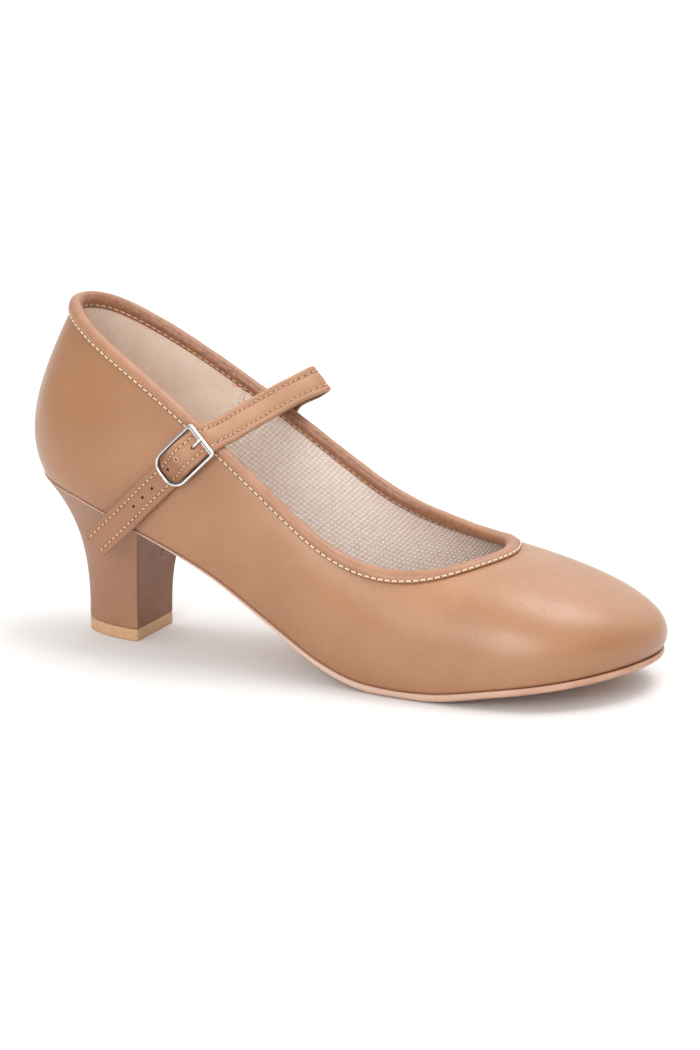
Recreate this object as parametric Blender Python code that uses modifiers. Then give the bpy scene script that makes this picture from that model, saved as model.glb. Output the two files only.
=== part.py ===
# Right-foot dance shoe: lasted court upper, bound topline, instep strap with buckle, block heel.
# Design frame in millimetres: x runs from the heel to the toe, +y is the medial side, z is up, floor at 0.
import math

import bmesh
import bpy
import numpy as np
from mathutils import Matrix, Vector

MM = 0.001
GAP = 0.3                # clearance between pieces that touch

# Driving sizes
WALL = 1.6               # leather and lining of the upper
BAND_DEPTH = 4.0         # topline binding, measured down each face
BAND_SHEET = 0.6         # leather of the binding
SOLE_STEP = 0.8          # sole edge beyond the upper's lower edge
SOLE_BEVEL = 0.7         # rounded lower edge of the sole
INSOLE_THICKNESS = 2.0
INSOLE_INSET = 3.0
INSOLE_LIFT = 0.45       # insole off the outsole
HEEL_SPAN = 3.04         # rows of the section table from the back of the heel to the breast
HEEL_FLARE = 2.7         # power of the heel's sweep from the tip out to the seat
HEEL_TUCK = 2.0          # heel inside the sole's edge at the breast corners
TUCK_POWER = 3           # how late the tuck sets in towards the corners
TIP_HEIGHT = 4.4
TIP_BREAST_X = 46.0
TIP_LENGTH = 25.0
TIP_HALF_WIDTH = 13.2
STRAP_WIDTH = 10.7
STRAP_THICKNESS = 2.0
STRAP_EDGE = ((0.0, 0.0), (0.5, 0.8), (1.5, 1.0))   # inset from the side, part of the half thickness
HOLE_RADIUS = 0.65
HOLE_PITCH = 5.0
HOLE_COUNT = 6
FIRST_HOLE = -27.0       # along the strap from the centre bar
CUTTER_LENGTH = 16.0
WIRE_RADIUS = 0.75       # buckle frame
BAR_RADIUS = 0.5         # centre bar
PRONG_RADIUS = 0.5
FRAME_HALF_WIDTH = 6.35
FRAME_HEAD = 9.7         # straight bar, along the strap from the centre bar
FRAME_END = -10.3        # rounded end
FRAME_END_RADIUS = 5.0
FRAME_HEAD_RADIUS = 1.0
TAB_HALF_WIDTH = 4.6
TAB_SHEET = 0.7
TAB_PLAY = 0.25          # tab off the centre bar
TAB_FOLD = (-75, -340)   # where the tab's fold round the bar starts and ends, in degrees
SLOT_LOW = (-3.0, -1.1, -2.0)    # opening in the tab for the prong, in the buckle's axes
SLOT_HIGH = (2.4, 1.1, 7.0)
BAR_SET_IN = 0.15        # bends of the centre bar, in from the side rails
SHARP_ANGLE = 40         # edges sharper than this stay crisp, in degrees

# Sample counts round and up the pieces
ROUND_UPPER = 92
UP_UPPER = 10
ROUND_SOLE = 92
ROUND_HEEL = 28
UP_HEEL = 10
STEPS_PER_STRAP_ROW = 4
STEPS_PER_PRONG_ROW = 4
STEPS_PER_FOLD = 15
SIDES_OF_HOLE = 12

# Sections of the upper, from the back of the heel along the lateral side, round the toe and back.
# feather: where the wall meets the sole.  top: the topline.  rise, flare: how the wall leaves the sole.
# reach, drop: how it comes in to the topline.
SECTION_COLUMNS = ("feather_x", "feather_y", "top_x", "top_y", "top_z", "rise", "flare", "reach", "drop")
SECTIONS = (
    ("heel_back",       6.0,   0.0,  16.8,   1.0, 118.6, 16.0, 8.0, 13.0, 26.0),
    ("heel_lat_back",  13.0, -17.5,  22.3, -10.5, 116.5, 16.0, 7.5, 11.5, 26.0),
    ("heel_lat",       30.0, -26.0,  36.0, -19.0, 109.3, 16.0, 6.0,  8.0, 24.0),
    ("seat_lat",       52.0, -27.5,  57.0, -24.0,  98.0, 16.0, 4.0,  6.0, 20.0),
    ("waist_lat",      80.0, -26.0,  80.0, -26.5,  82.9, 16.0, 3.0,  5.0, 18.0),
    ("shank_lat",     105.0, -27.0, 103.0, -27.0,  65.6, 15.0, 3.0,  5.0, 15.0),
    ("joint_lat",     132.0, -31.0, 124.0, -27.0,  50.1, 14.0, 4.0,  6.0, 12.0),
    ("ball_lat",      160.0, -33.0, 145.0, -26.0,  42.2, 14.0, 4.0,  8.0, 10.0),
    ("tread_lat",     190.0, -31.0, 164.0, -19.5,  42.2, 15.0, 4.0, 12.0,  8.0),
    ("toe_lat",       217.0, -18.0, 175.5,  -7.5,  44.6, 15.0, 7.0, 24.0,  7.0),
    ("toe_tip",       231.5,  12.0, 179.5,   4.5,  45.8, 14.0, 9.5, 33.5,  7.5),
    ("toe_med",       219.5,  36.0, 175.5,  15.0,  46.4, 15.0, 7.5, 23.5,  8.0),
    ("tread_med",     196.0,  45.0, 164.5,  23.5,  45.3, 15.0, 4.0, 13.0,  8.0),
    ("ball_med",      170.0,  45.5, 145.0,  29.5,  47.6, 14.0, 3.0,  9.0, 11.0),
    ("joint_med",     140.0,  37.0, 124.0,  30.0,  54.9, 14.0, 3.0,  7.0, 14.0),
    ("shank_med",     108.0,  26.0, 101.0,  28.0,  69.6, 15.0, 3.0,  6.0, 17.0),
    ("waist_med",      80.0,  23.0,  77.0,  26.0,  85.2, 16.0, 4.0,  6.0, 20.0),
    ("seat_med",       52.0,  25.0,  55.0,  23.0,  99.0, 16.0, 5.0,  7.0, 22.0),
    ("heel_med",       30.0,  25.5,  36.0,  19.0, 109.8, 16.0, 6.0,  8.0, 24.0),
    ("heel_med_back",  13.0,  17.5,  22.3,  12.0, 116.9, 16.0, 7.5, 11.5, 26.0),
)

# Side profile of the sole: height of the upper's lower edge, and the sole's thickness under it.
SOLE_COLUMNS = ("x", "feather_z", "thickness")
SOLE_PROFILE = (
    ("heel_end",     0.0, 61.5, 1.2),
    ("seat_back",    6.0, 59.5, 1.2),
    ("seat",        30.0, 54.0, 1.2),
    ("breast",      52.0, 46.0, 1.2),
    ("waist",       80.0, 33.6, 1.4),
    ("shank",      105.0, 19.0, 2.2),
    ("joint_back", 125.0,  8.6, 3.0),
    ("joint",      140.0,  4.1, 3.3),
    ("ball",       152.0,  3.2, 3.3),
    ("tread",      168.0,  3.7, 3.4),
    ("toe_back",   190.0,  7.3, 3.2),
    ("toe",        215.0, 11.2, 3.2),
    ("toe_end",    240.0, 15.0, 3.2),
)

# Folded binding, over the topline from the outer lower edge to the inner one.
# up: along the wall past the topline.  out: off the upper's outer face.
BAND_COLUMNS = ("up", "out")
BAND_SECTION = (
    ("outer_edge", -BAND_DEPTH,  1.1),
    ("outer_face",        -2.0,  1.35),
    ("outer_roll",         0.6,  1.0),
    ("ridge",              1.5, -0.8),
    ("inner_roll",         0.6, -2.7),
    ("inner_face",        -2.0, -3.1),
    ("inner_edge", -BAND_DEPTH, -3.0),
)

# Buckle's own axes on the lateral wall: origin on the wall under the centre bar.
BUCKLE_SEAT = (74.8, -28.6, 74.2)
BUCKLE_ALONG = (0.705, 0.115, 0.700)
BUCKLE_OUT = (0.040, -0.990, 0.124)
BAR_LIFT = 2.3           # centre bar off the wall
HEAD_LIFT = 4.25         # straight bar off the wall
END_LIFT = 3.15          # rounded end off the wall

# Strap from its tail up to the topline, in the buckle's axes.
LAID_COLUMNS = ("along", "out")
STRAP_LAID = (
    ("tail_end",    -49.5, -2.1),
    ("tail",        -40.0, -1.6),
    ("tail_top",    -30.0, -0.7),
    ("under_end",   -20.0,  0.6),
    ("rounded_end", -11.0,  0.92),
    ("end_slope",    -5.6,  2.2),
    ("centre_bar",    0.0,  5.2),
    ("head_slope",    4.8,  4.0),
    ("straight_bar",  9.6,  2.2),
)

# Strap over the topline, across the instep and down the medial wall, with the direction its outer face looks.
ARCH_COLUMNS = ("x", "y", "z", "face_x", "face_y", "face_z")
STRAP_ARCH = (
    ("shoulder",    83.2, -29.0, 82.4, 0.30, -0.87,  0.40),
    ("ridge",       84.4, -26.5, 83.3, 0.45, -0.62,  0.64),
    ("arch_foot",   84.7, -21.5, 82.7, 0.52, -0.30,  0.76),
    ("arch_lat",    85.8,  -8.0, 84.0, 0.57, -0.15,  0.79),
    ("arch_mid",    88.2,  10.0, 86.3, 0.58, -0.05,  0.80),
    ("arch_med",    91.0,  26.0, 88.3, 0.60,  0.04,  0.79),
    ("turn",        93.3,  36.2, 89.2, 0.70,  0.38,  0.60),
    ("bow",         91.0,  38.5, 86.0, 0.42,  1.00,  0.00),
    ("lip",         84.2,  34.2, 81.2, 0.15,  1.00, -0.50),
    ("medial_wall", 79.0,  31.1, 73.0, 0.05,  1.00, -0.05),
    ("medial_end",  73.6,  30.8, 64.0, 0.05,  1.00,  0.05),
)

# Prong in the buckle's axes: from the hook, through its hole, over the straight bar.
PRONG_COLUMNS = ("along", "out")
PRONG_ROUTE = (
    ("shank",  2.6, 2.5),
    ("rise",   4.3, 3.2),
    ("hole",   5.6, 4.5),
    ("crest",  7.6, 5.7),
    ("rest",   9.7, 5.8),
    ("tip",   10.6, 5.5),
)
PRONG_HOOK = 1.3         # hook's middle radius round the centre bar
HOOK_TURN = (165, 370)   # where the hook starts and ends, in degrees

# Flat part of the tab, from its end under the strap to the fold, in the buckle's axes.
TAB_COLUMNS = ("along", "out")
TAB_FLAT = (
    ("tab_end",  5.4, 0.75),
    ("tab_flat", 3.0, 0.80),
    ("tab_rise", 1.2, 1.00),
)

# Colour, roughness and metallic value of each material
FINISHES = {
    "tan_leather": ((0.50, 0.25, 0.13), 0.45, 0.0),
    "binding_leather": ((0.46, 0.22, 0.12), 0.50, 0.0),
    "sole_leather": ((0.66, 0.38, 0.25), 0.60, 0.0),
    "insole_cloth": ((0.72, 0.58, 0.50), 0.85, 0.0),
    "tip_rubber": ((0.74, 0.46, 0.22), 0.55, 0.0),
    "nickel": ((0.80, 0.79, 0.78), 0.20, 1.0),
}


def column(table, names, name):
    return np.array([row[1 + names.index(name)] for row in table])


def columns(table, names, wanted):
    return np.stack([column(table, names, name) for name in wanted], -1)


# Smooth closed curve through the rows of a table, with row numbers as its parameter.
def loop_spline(values, t):
    count = len(values)
    matrix = 4.0 * np.eye(count) + np.roll(np.eye(count), 1, 0) + np.roll(np.eye(count), -1, 0)
    slopes = np.linalg.solve(matrix, 3.0 * (np.roll(values, -1, 0) - np.roll(values, 1, 0)))
    start = np.floor(t).astype(int)
    s = (t - start)[..., None]
    a, b = start % count, (start + 1) % count
    return ((2 * s**3 - 3 * s**2 + 1) * values[a] + (s**3 - 2 * s**2 + s) * slopes[a]
            + (3 * s**2 - 2 * s**3) * values[b] + (s**3 - s**2) * slopes[b])


# Smooth open curve through rows of values that lie at unevenly spaced stations.
def smooth_along(stations, values, place):
    slopes = np.gradient(values, stations, axis=0)
    i = np.clip(np.searchsorted(stations, place) - 1, 0, len(stations) - 2)
    length = (stations[i + 1] - stations[i])[..., None]
    s = (place - stations[i])[..., None] / length
    return ((2 * s**3 - 3 * s**2 + 1) * values[i] + (s**3 - 2 * s**2 + s) * length * slopes[i]
            + (3 * s**2 - 2 * s**3) * values[i + 1] + (s**3 - s**2) * length * slopes[i + 1])


# Distances of points from the first one, along the line through them.
def distances(points):
    return np.concatenate([[0.0], np.cumsum(np.linalg.norm(np.diff(points, axis=0), axis=-1))])


# Places along such a line, evenly spread between each two points.
def places_between(stations, steps):
    spans = len(stations) - 1
    return np.interp(np.linspace(0, spans, steps * spans + 1), np.arange(spans + 1), stations)


# Value of a sole column at x, smooth between the stations.
def along_sole(name, x):
    stations = column(SOLE_PROFILE, SOLE_COLUMNS, "x")
    values = columns(SOLE_PROFILE, SOLE_COLUMNS, (name,))
    return smooth_along(stations, values, x)[..., 0]


def sole_top(x):
    return along_sole("feather_z", x) - GAP


def sole_under(x):
    return np.maximum(sole_top(x) - along_sole("thickness", x), 0.0)


def unit(vectors):
    return vectors / np.linalg.norm(vectors, axis=-1, keepdims=True)


SECTION_VALUES = columns(SECTIONS, SECTION_COLUMNS, SECTION_COLUMNS)
SECTION_COUNT = len(SECTIONS)
NUDGE = 1e-3


def section(t):
    values = loop_spline(SECTION_VALUES, t)
    return {name: values[..., i] for i, name in enumerate(SECTION_COLUMNS)}


# Horizontal direction out of the shoe at the upper's lower edge.
def outward(t):
    ahead, behind = section(t + NUDGE), section(t - NUDGE)
    dx = ahead["feather_x"] - behind["feather_x"]
    dy = ahead["feather_y"] - behind["feather_y"]
    return unit(np.stack([dy, -dx], -1))


# Outer face of the upper: t counts the sections round the shoe, h goes from the sole (0) to the topline (1).
def upper_point(t, h):
    t, h = np.broadcast_arrays(np.asarray(t, float), np.asarray(h, float))
    row = section(t)
    out = np.concatenate([outward(t), np.zeros(t.shape + (1,))], -1)
    up = np.array([0.0, 0.0, 1.0])
    foot = np.stack([row["feather_x"], row["feather_y"], along_sole("feather_z", row["feather_x"])], -1)
    top = np.stack([row["top_x"], row["top_y"], row["top_z"]], -1)
    low = foot + out * row["flare"][..., None] + up * row["rise"][..., None]
    high = top + out * row["reach"][..., None] - up * row["drop"][..., None]
    h = h[..., None]
    return (1 - h)**3 * foot + 3 * (1 - h)**2 * h * low + 3 * (1 - h) * h**2 * high + h**3 * top


# Place measured up from the topline and out from the outer face; below the topline it follows the wall.
def topline_point(t, up, out):
    t, up, out = np.broadcast_arrays(t, up, out)
    climb = upper_point(t, 1.0) - upper_point(t, 1.0 - NUDGE)
    h = 1.0 + NUDGE * np.minimum(up, 0.0) / np.linalg.norm(climb, axis=-1)
    wall = upper_point(t, h)
    climb = unit(wall - upper_point(t, h - NUDGE))
    normal = unit(np.cross(upper_point(t + NUDGE, h) - upper_point(t - NUDGE, h), climb))
    return wall + climb * np.maximum(up, 0.0)[..., None] + normal * out[..., None]


# Outline of the upper's lower edge, moved outwards.
def feather_outline(t, offset):
    row = section(t)
    return np.stack([row["feather_x"], row["feather_y"]], -1) + outward(t) * offset


def flat_ring(outline, height):
    return np.concatenate([outline, np.broadcast_to(height, (len(outline),))[:, None]], -1)


# Mesh of quads over a grid of points; either direction may close on itself.
def grid_faces(rows, columns, close_rows, close_columns):
    faces = []
    for i in range(rows if close_rows else rows - 1):
        for j in range(columns if close_columns else columns - 1):
            a, b = i, (i + 1) % rows
            c, d = j, (j + 1) % columns
            faces.append((a * columns + c, b * columns + c, b * columns + d, a * columns + d))
    return faces


# Strips across a ring of points, from its first point to its middle.
def strips_across(first, last, half):
    return [[first + i, first + i + 1, last - i - 1, last - i] for i in range(half)]


def new_object(name, mesh, finish):
    obj = bpy.data.objects.new(name, mesh)
    if finish:
        mesh.materials.append(bpy.data.materials[finish])
    return obj


def mesh_object(name, points, faces, finish=None, closed=True):
    mesh = bpy.data.meshes.new(name)
    work = bmesh.new()
    corners = [work.verts.new(Vector(point) * MM) for point in np.reshape(points, (-1, 3))]
    for face in faces:
        ring = list(dict.fromkeys(face))
        work.faces.new([corners[i] for i in ring])
    if closed:
        bmesh.ops.recalc_face_normals(work, faces=work.faces)
    work.to_mesh(mesh)
    work.free()
    mesh.shade_smooth()
    mesh.set_sharp_from_angle(angle=math.radians(SHARP_ANGLE))
    return new_object(name, mesh, finish)


def add_solidify(obj, thickness):
    shell = obj.modifiers.new("wall", "SOLIDIFY")
    shell.thickness = thickness * MM
    shell.offset = -1.0
    shell.use_even_offset = True
    shell.use_rim = True


def add_boolean(obj, other, operation):
    boolean = obj.modifiers.new(other.name, "BOOLEAN")
    boolean.operation = operation
    boolean.object = other
    boolean.solver = "EXACT"


# Body lofted through rings that share their point count, capped by strips.
def lofted_body(name, rings, finish, symmetric_start):
    rings = np.asarray(rings)
    count, around = rings.shape[:2]
    faces = grid_faces(count, around, False, True)
    for ring in (0, count - 1):
        first = ring * around
        last = first + (around if symmetric_start else around - 1)
        for strip in strips_across(first, last, around // 2):
            faces.append([first if i == first + around else i for i in strip])
    return mesh_object(name, rings, faces, finish)


def make_upper():
    t = np.linspace(0, SECTION_COUNT, ROUND_UPPER, endpoint=False)
    h = np.linspace(0, 1, UP_UPPER + 1)
    points = upper_point(t[:, None], h[None, :])
    faces = grid_faces(ROUND_UPPER, UP_UPPER + 1, True, False)
    upper = mesh_object("upper", points, faces, "tan_leather", closed=False)
    add_solidify(upper, WALL)
    return upper


def make_binding():
    t = np.linspace(0, SECTION_COUNT, ROUND_UPPER, endpoint=False)
    up, out = columns(BAND_SECTION, BAND_COLUMNS, BAND_COLUMNS).T
    points = topline_point(t[:, None], up[None, :], out[None, :])
    faces = grid_faces(ROUND_UPPER, len(BAND_SECTION), True, False)
    binding = mesh_object("topline_binding", points, faces, "binding_leather", closed=False)
    add_solidify(binding, BAND_SHEET)
    return binding


def make_outsole():
    t = np.linspace(0, SECTION_COUNT, ROUND_SOLE, endpoint=False)
    edge = feather_outline(t, SOLE_STEP)
    tread = feather_outline(t, SOLE_STEP - SOLE_BEVEL)
    under = sole_under(tread[:, 0])
    bevel = np.minimum(SOLE_BEVEL, 0.5 * along_sole("thickness", edge[:, 0]))
    rings = (flat_ring(tread, under), flat_ring(edge, sole_under(edge[:, 0]) + bevel),
             flat_ring(edge, sole_top(edge[:, 0])))
    return lofted_body("outsole", rings, "sole_leather", True)


def make_insole():
    t = np.linspace(0, SECTION_COUNT, ROUND_SOLE, endpoint=False)
    edge = feather_outline(t, -INSOLE_INSET)
    low = sole_top(edge[:, 0]) + INSOLE_LIFT
    rings = (flat_ring(edge, low), flat_ring(edge, low + INSOLE_THICKNESS))
    return lofted_body("insole", rings, "insole_cloth", True)


# Outline of the heel's tip, from the lateral breast corner round the back to the medial one.
def tip_outline():
    turn = np.linspace(-0.5 * math.pi, 0.5 * math.pi, ROUND_HEEL + 1)
    return np.stack([TIP_BREAST_X - TIP_LENGTH * np.cos(turn), TIP_HALF_WIDTH * np.sin(turn)], -1)


def make_heel():
    part = np.linspace(1, -1, ROUND_HEEL + 1)
    inset = GAP + HEEL_TUCK * np.abs(part[:, None])**TUCK_POWER
    seat = feather_outline(HEEL_SPAN * part, -inset)
    tip = tip_outline()
    seat_height = sole_under(seat[:, 0]) - GAP
    tip_height = TIP_HEIGHT + GAP
    rings = []
    for level in np.linspace(0, 1, UP_HEEL + 1):
        outline = tip + (seat - tip) * level**HEEL_FLARE
        rings.append(flat_ring(outline, tip_height + (seat_height - tip_height) * level))
    return lofted_body("heel", rings, "tan_leather", False)


def make_heel_tip():
    tip = tip_outline()
    rings = (flat_ring(tip, 0.0), flat_ring(tip, TIP_HEIGHT))
    return lofted_body("heel_tip", rings, "tip_rubber", False)


def buckle_axes():
    out = unit(np.array(BUCKLE_OUT))
    along = np.array(BUCKLE_ALONG)
    along = unit(along - out * np.dot(along, out))
    return along, np.cross(out, along), out


def buckle_matrix():
    along, across, out = buckle_axes()
    matrix = Matrix.Identity(4)
    for i, axis in enumerate((along, across, out)):
        matrix.col[i][:3] = axis
    matrix.translation = Vector(BUCKLE_SEAT) * MM
    return matrix


# Middle line of the strap and the direction of its outer face, from the tail to the medial end.
def strap_rows():
    along, across, out = buckle_axes()
    s = column(STRAP_LAID, LAID_COLUMNS, "along")[:, None]
    n = column(STRAP_LAID, LAID_COLUMNS, "out")[:, None]
    laid = np.array(BUCKLE_SEAT) + along * s + out * n
    arch = columns(STRAP_ARCH, ARCH_COLUMNS, ("x", "y", "z"))
    faces = columns(STRAP_ARCH, ARCH_COLUMNS, ("face_x", "face_y", "face_z"))
    laid_faces = np.broadcast_to(out, laid.shape)
    return np.concatenate([laid, arch]), unit(np.concatenate([laid_faces, faces]))


def strap_section():
    half = 0.5 * STRAP_WIDTH
    thick = 0.5 * STRAP_THICKNESS
    right = [(half - inset, part * thick) for inset, part in STRAP_EDGE]
    top = right + [(-x, z) for x, z in reversed(right)]
    bottom = [(x, -z) for x, z in reversed(top[1:-1])]
    return np.array(top + bottom)


# Section rings of the strap along its middle line.
def strap_rings():
    points, faces_out = strap_rows()
    stations = distances(points)
    places = places_between(stations, STEPS_PER_STRAP_ROW)
    middle = smooth_along(stations, points, places)
    travel = unit(np.gradient(middle, places, axis=0))
    face = smooth_along(stations, faces_out, places)
    face = unit(face - travel * np.sum(face * travel, -1, keepdims=True))
    across = np.cross(travel, face)
    profile = strap_section()
    return (middle[:, None] + across[:, None] * profile[None, :, :1]
            + face[:, None] * profile[None, :, 1:])


def make_strap():
    rings = strap_rings()
    steps, around = rings.shape[:2]
    quads = grid_faces(steps, around, False, True)
    last = (steps - 1) * around
    ends = [list(range(around)), list(range(last, last + around))]
    return mesh_object("strap", rings, quads + ends, "tan_leather")


# Wire through points in the buckle's axes, made a mesh.
def wire(name, route, radius, cyclic, finish=None):
    curve = bpy.data.curves.new(name, "CURVE")
    curve.dimensions = "3D"
    curve.bevel_depth = radius * MM
    curve.bevel_resolution = 2
    curve.use_fill_caps = True
    line = curve.splines.new("POLY")
    line.points.add(len(route) - 1)
    for point, place in zip(line.points, route):
        point.co = (*(Vector(place) * MM), 1.0)
    line.use_cyclic_u = cyclic
    return curve_to_mesh(name, curve, finish)


def curve_to_mesh(name, curve, finish):
    guide = bpy.data.objects.new(name + "_guide", curve)
    bpy.context.scene.collection.objects.link(guide)
    bpy.context.view_layer.update()
    graph = bpy.context.evaluated_depsgraph_get()
    mesh = bpy.data.meshes.new_from_object(guide.evaluated_get(graph))
    bpy.data.objects.remove(guide)
    work = bmesh.new()
    work.from_mesh(mesh)
    bmesh.ops.remove_doubles(work, verts=work.verts, dist=1e-6)
    bmesh.ops.recalc_face_normals(work, faces=work.faces)
    work.to_mesh(mesh)
    work.free()
    mesh.name = name
    mesh.shade_smooth()
    mesh.set_sharp_from_angle(angle=math.radians(SHARP_ANGLE))
    obj = new_object(name, mesh, finish)
    obj.matrix_world = buckle_matrix()
    return obj


def frame_lift(along):
    part = (along - FRAME_END) / (FRAME_HEAD - FRAME_END)
    return END_LIFT + (HEAD_LIFT - END_LIFT) * part


# D-shaped frame: straight bar, two side rails and a half-round end.
def frame_route():
    head, end = FRAME_HEAD - FRAME_HEAD_RADIUS, FRAME_END + FRAME_END_RADIUS
    head_side = FRAME_HALF_WIDTH - FRAME_HEAD_RADIUS
    end_side = FRAME_HALF_WIDTH - FRAME_END_RADIUS
    arcs = (
        (head, -head_side, FRAME_HEAD_RADIUS, -90, 0, 4),
        (head, head_side, FRAME_HEAD_RADIUS, 0, 90, 4),
        (end, end_side, FRAME_END_RADIUS, 90, 180, 9),
        (end, -end_side, FRAME_END_RADIUS, 180, 270, 9),
    )
    route = []
    for along, across, radius, start, stop, steps in arcs:
        for angle in np.radians(np.linspace(start, stop, steps + 1)):
            s = along + radius * math.cos(angle)
            route.append((s, across + radius * math.sin(angle), frame_lift(s)))
    return route


def make_buckle_frame():
    frame = wire("buckle_frame", frame_route(), WIRE_RADIUS, True, "nickel")
    side = FRAME_HALF_WIDTH
    rail = frame_lift(0.0)
    bend = side - BAR_SET_IN
    bar_route = ((0, -side, rail), (0, -bend, BAR_LIFT), (0, bend, BAR_LIFT), (0, side, rail))
    bar = wire("centre_bar", bar_route, BAR_RADIUS, False)
    add_boolean(frame, bar, "UNION")
    return frame, bar


def prong_route():
    hook = []
    for angle in np.radians(np.linspace(*HOOK_TURN, STEPS_PER_FOLD)):
        hook.append((PRONG_HOOK * math.cos(angle), 0.0, BAR_LIFT + PRONG_HOOK * math.sin(angle)))
    shank = [(along, 0.0, out) for along, out in columns(PRONG_ROUTE, PRONG_COLUMNS, PRONG_COLUMNS)]
    points = np.array([hook[-1], *shank])
    stations = distances(points)
    smooth = smooth_along(stations, points, places_between(stations, STEPS_PER_PRONG_ROW))
    return hook[:-1] + [tuple(point) for point in smooth]


def make_prong():
    return wire("buckle_prong", prong_route(), PRONG_RADIUS, False, "nickel")


# Leather tab: flat on the wall, then folded round the centre bar.
def make_tab():
    radius = BAR_RADIUS + TAB_PLAY + 0.5 * TAB_SHEET
    middle = list(columns(TAB_FLAT, TAB_COLUMNS, TAB_COLUMNS))
    for angle in np.radians(np.linspace(*TAB_FOLD, STEPS_PER_FOLD)):
        middle.append((radius * math.cos(angle), BAR_LIFT + radius * math.sin(angle)))
    middle = np.array(middle)
    direction = unit(np.gradient(middle, axis=0))
    side = np.stack([-direction[:, 1], direction[:, 0]], -1) * 0.5 * TAB_SHEET
    outline = np.concatenate([middle + side, (middle - side)[::-1]])
    count = len(outline)
    points = []
    for across in (-TAB_HALF_WIDTH, TAB_HALF_WIDTH):
        points += [(s, across, n) for s, n in outline]
    faces = grid_faces(2, count, False, True)
    half = len(middle)
    for first in (0, count):
        faces += strips_across(first, first + count - 1, half - 1)
    tab = mesh_object("buckle_tab", points, faces, "tan_leather")
    tab.matrix_world = buckle_matrix()
    return tab


def make_tab_slot():
    slot = block("tab_slot", np.array(SLOT_LOW), np.array(SLOT_HIGH))
    slot.matrix_world = buckle_matrix()
    return slot


def block(name, low, high):
    mesh = bpy.data.meshes.new(name)
    work = bmesh.new()
    bmesh.ops.create_cube(work, size=1.0)
    size = (high - low) * MM
    centre = 0.5 * (high + low) * MM
    bmesh.ops.scale(work, vec=size, verts=work.verts)
    bmesh.ops.translate(work, vec=centre, verts=work.verts)
    work.to_mesh(mesh)
    work.free()
    return bpy.data.objects.new(name, mesh)


def make_hole_cutters():
    cutters = []
    for i in range(HOLE_COUNT):
        along = FIRST_HOLE + HOLE_PITCH * i
        mesh = bpy.data.meshes.new("hole_cutter")
        work = bmesh.new()
        bmesh.ops.create_cone(work, cap_ends=True, segments=SIDES_OF_HOLE, radius1=HOLE_RADIUS * MM,
                              radius2=HOLE_RADIUS * MM, depth=CUTTER_LENGTH * MM)
        bmesh.ops.translate(work, vec=(along * MM, 0, 0), verts=work.verts)
        work.to_mesh(mesh)
        work.free()
        cutter = bpy.data.objects.new(f"hole_cutter_{i + 1}", mesh)
        cutter.matrix_world = buckle_matrix()
        cutters.append(cutter)
    cutters.append(wire("prong_hole_cutter", prong_route(), PRONG_RADIUS + GAP, False))
    return cutters


def make_materials():
    for name, (colour, roughness, metallic) in FINISHES.items():
        material = bpy.data.materials.new(name)
        material.use_nodes = True
        shader = material.node_tree.nodes["Principled BSDF"]
        shader.inputs["Base Color"].default_value = (*colour, 1.0)
        shader.inputs["Roughness"].default_value = roughness
        shader.inputs["Metallic"].default_value = metallic


def new_collection(name):
    collection = bpy.data.collections.new(name)
    bpy.context.scene.collection.children.link(collection)
    return collection


# The middle of the shoe's box on the floor becomes the origin.
def centre_on_floor(parts, stand):
    bpy.context.view_layer.update()
    graph = bpy.context.evaluated_depsgraph_get()
    corners = []
    for part in parts:
        mesh = part.evaluated_get(graph).to_mesh()
        corners += [part.matrix_world @ vertex.co for vertex in mesh.vertices]
    corners = np.array(corners)
    middle = 0.5 * (corners.min(axis=0) + corners.max(axis=0))
    stand.location = (-middle[0], -middle[1], 0.0)


def main():
    for obj in list(bpy.data.objects):
        bpy.data.objects.remove(obj)
    make_materials()
    strap = make_strap()
    frame, bar = make_buckle_frame()
    tab = make_tab()
    slot = make_tab_slot()
    holes = make_hole_cutters()
    for hole in holes:
        add_boolean(strap, hole, "DIFFERENCE")
    add_boolean(tab, slot, "DIFFERENCE")
    parts = [make_upper(), make_binding(), make_outsole(), make_insole(), make_heel(), make_heel_tip(),
             strap, frame, make_prong(), tab]
    cutters = [bar, slot, *holes]
    shoe = new_collection("dance_shoe")
    tools = new_collection("cutters")
    stand = bpy.data.objects.new("shoe_stand", None)
    shoe.objects.link(stand)
    for part in parts:
        shoe.objects.link(part)
    for cutter in cutters:
        tools.objects.link(cutter)
        cutter.hide_render = True
        cutter.display_type = "WIRE"
    for obj in parts + cutters:
        obj.parent = stand
    centre_on_floor(parts, stand)


main()
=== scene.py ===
# Looks of a tan leather dance shoe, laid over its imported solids.
# Shoe sizes are in millimetres: x from the heel to the toe, +y to the medial side, z up, floor at 0.
import math

import bmesh
import bpy
import numpy as np
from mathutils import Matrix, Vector


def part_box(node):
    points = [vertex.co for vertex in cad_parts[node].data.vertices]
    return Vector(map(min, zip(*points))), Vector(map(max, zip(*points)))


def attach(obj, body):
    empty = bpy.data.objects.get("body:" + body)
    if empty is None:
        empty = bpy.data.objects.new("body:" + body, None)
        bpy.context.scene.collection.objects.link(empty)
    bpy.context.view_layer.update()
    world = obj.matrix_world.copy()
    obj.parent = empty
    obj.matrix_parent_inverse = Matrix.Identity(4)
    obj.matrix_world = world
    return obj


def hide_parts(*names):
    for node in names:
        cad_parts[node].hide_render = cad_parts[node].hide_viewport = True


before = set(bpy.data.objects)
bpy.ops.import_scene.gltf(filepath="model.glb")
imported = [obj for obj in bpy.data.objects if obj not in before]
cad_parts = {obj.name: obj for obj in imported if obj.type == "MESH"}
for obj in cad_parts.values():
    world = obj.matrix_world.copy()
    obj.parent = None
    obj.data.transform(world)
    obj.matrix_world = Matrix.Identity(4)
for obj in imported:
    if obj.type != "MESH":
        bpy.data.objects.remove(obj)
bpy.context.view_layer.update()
mm = 0.001

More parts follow.
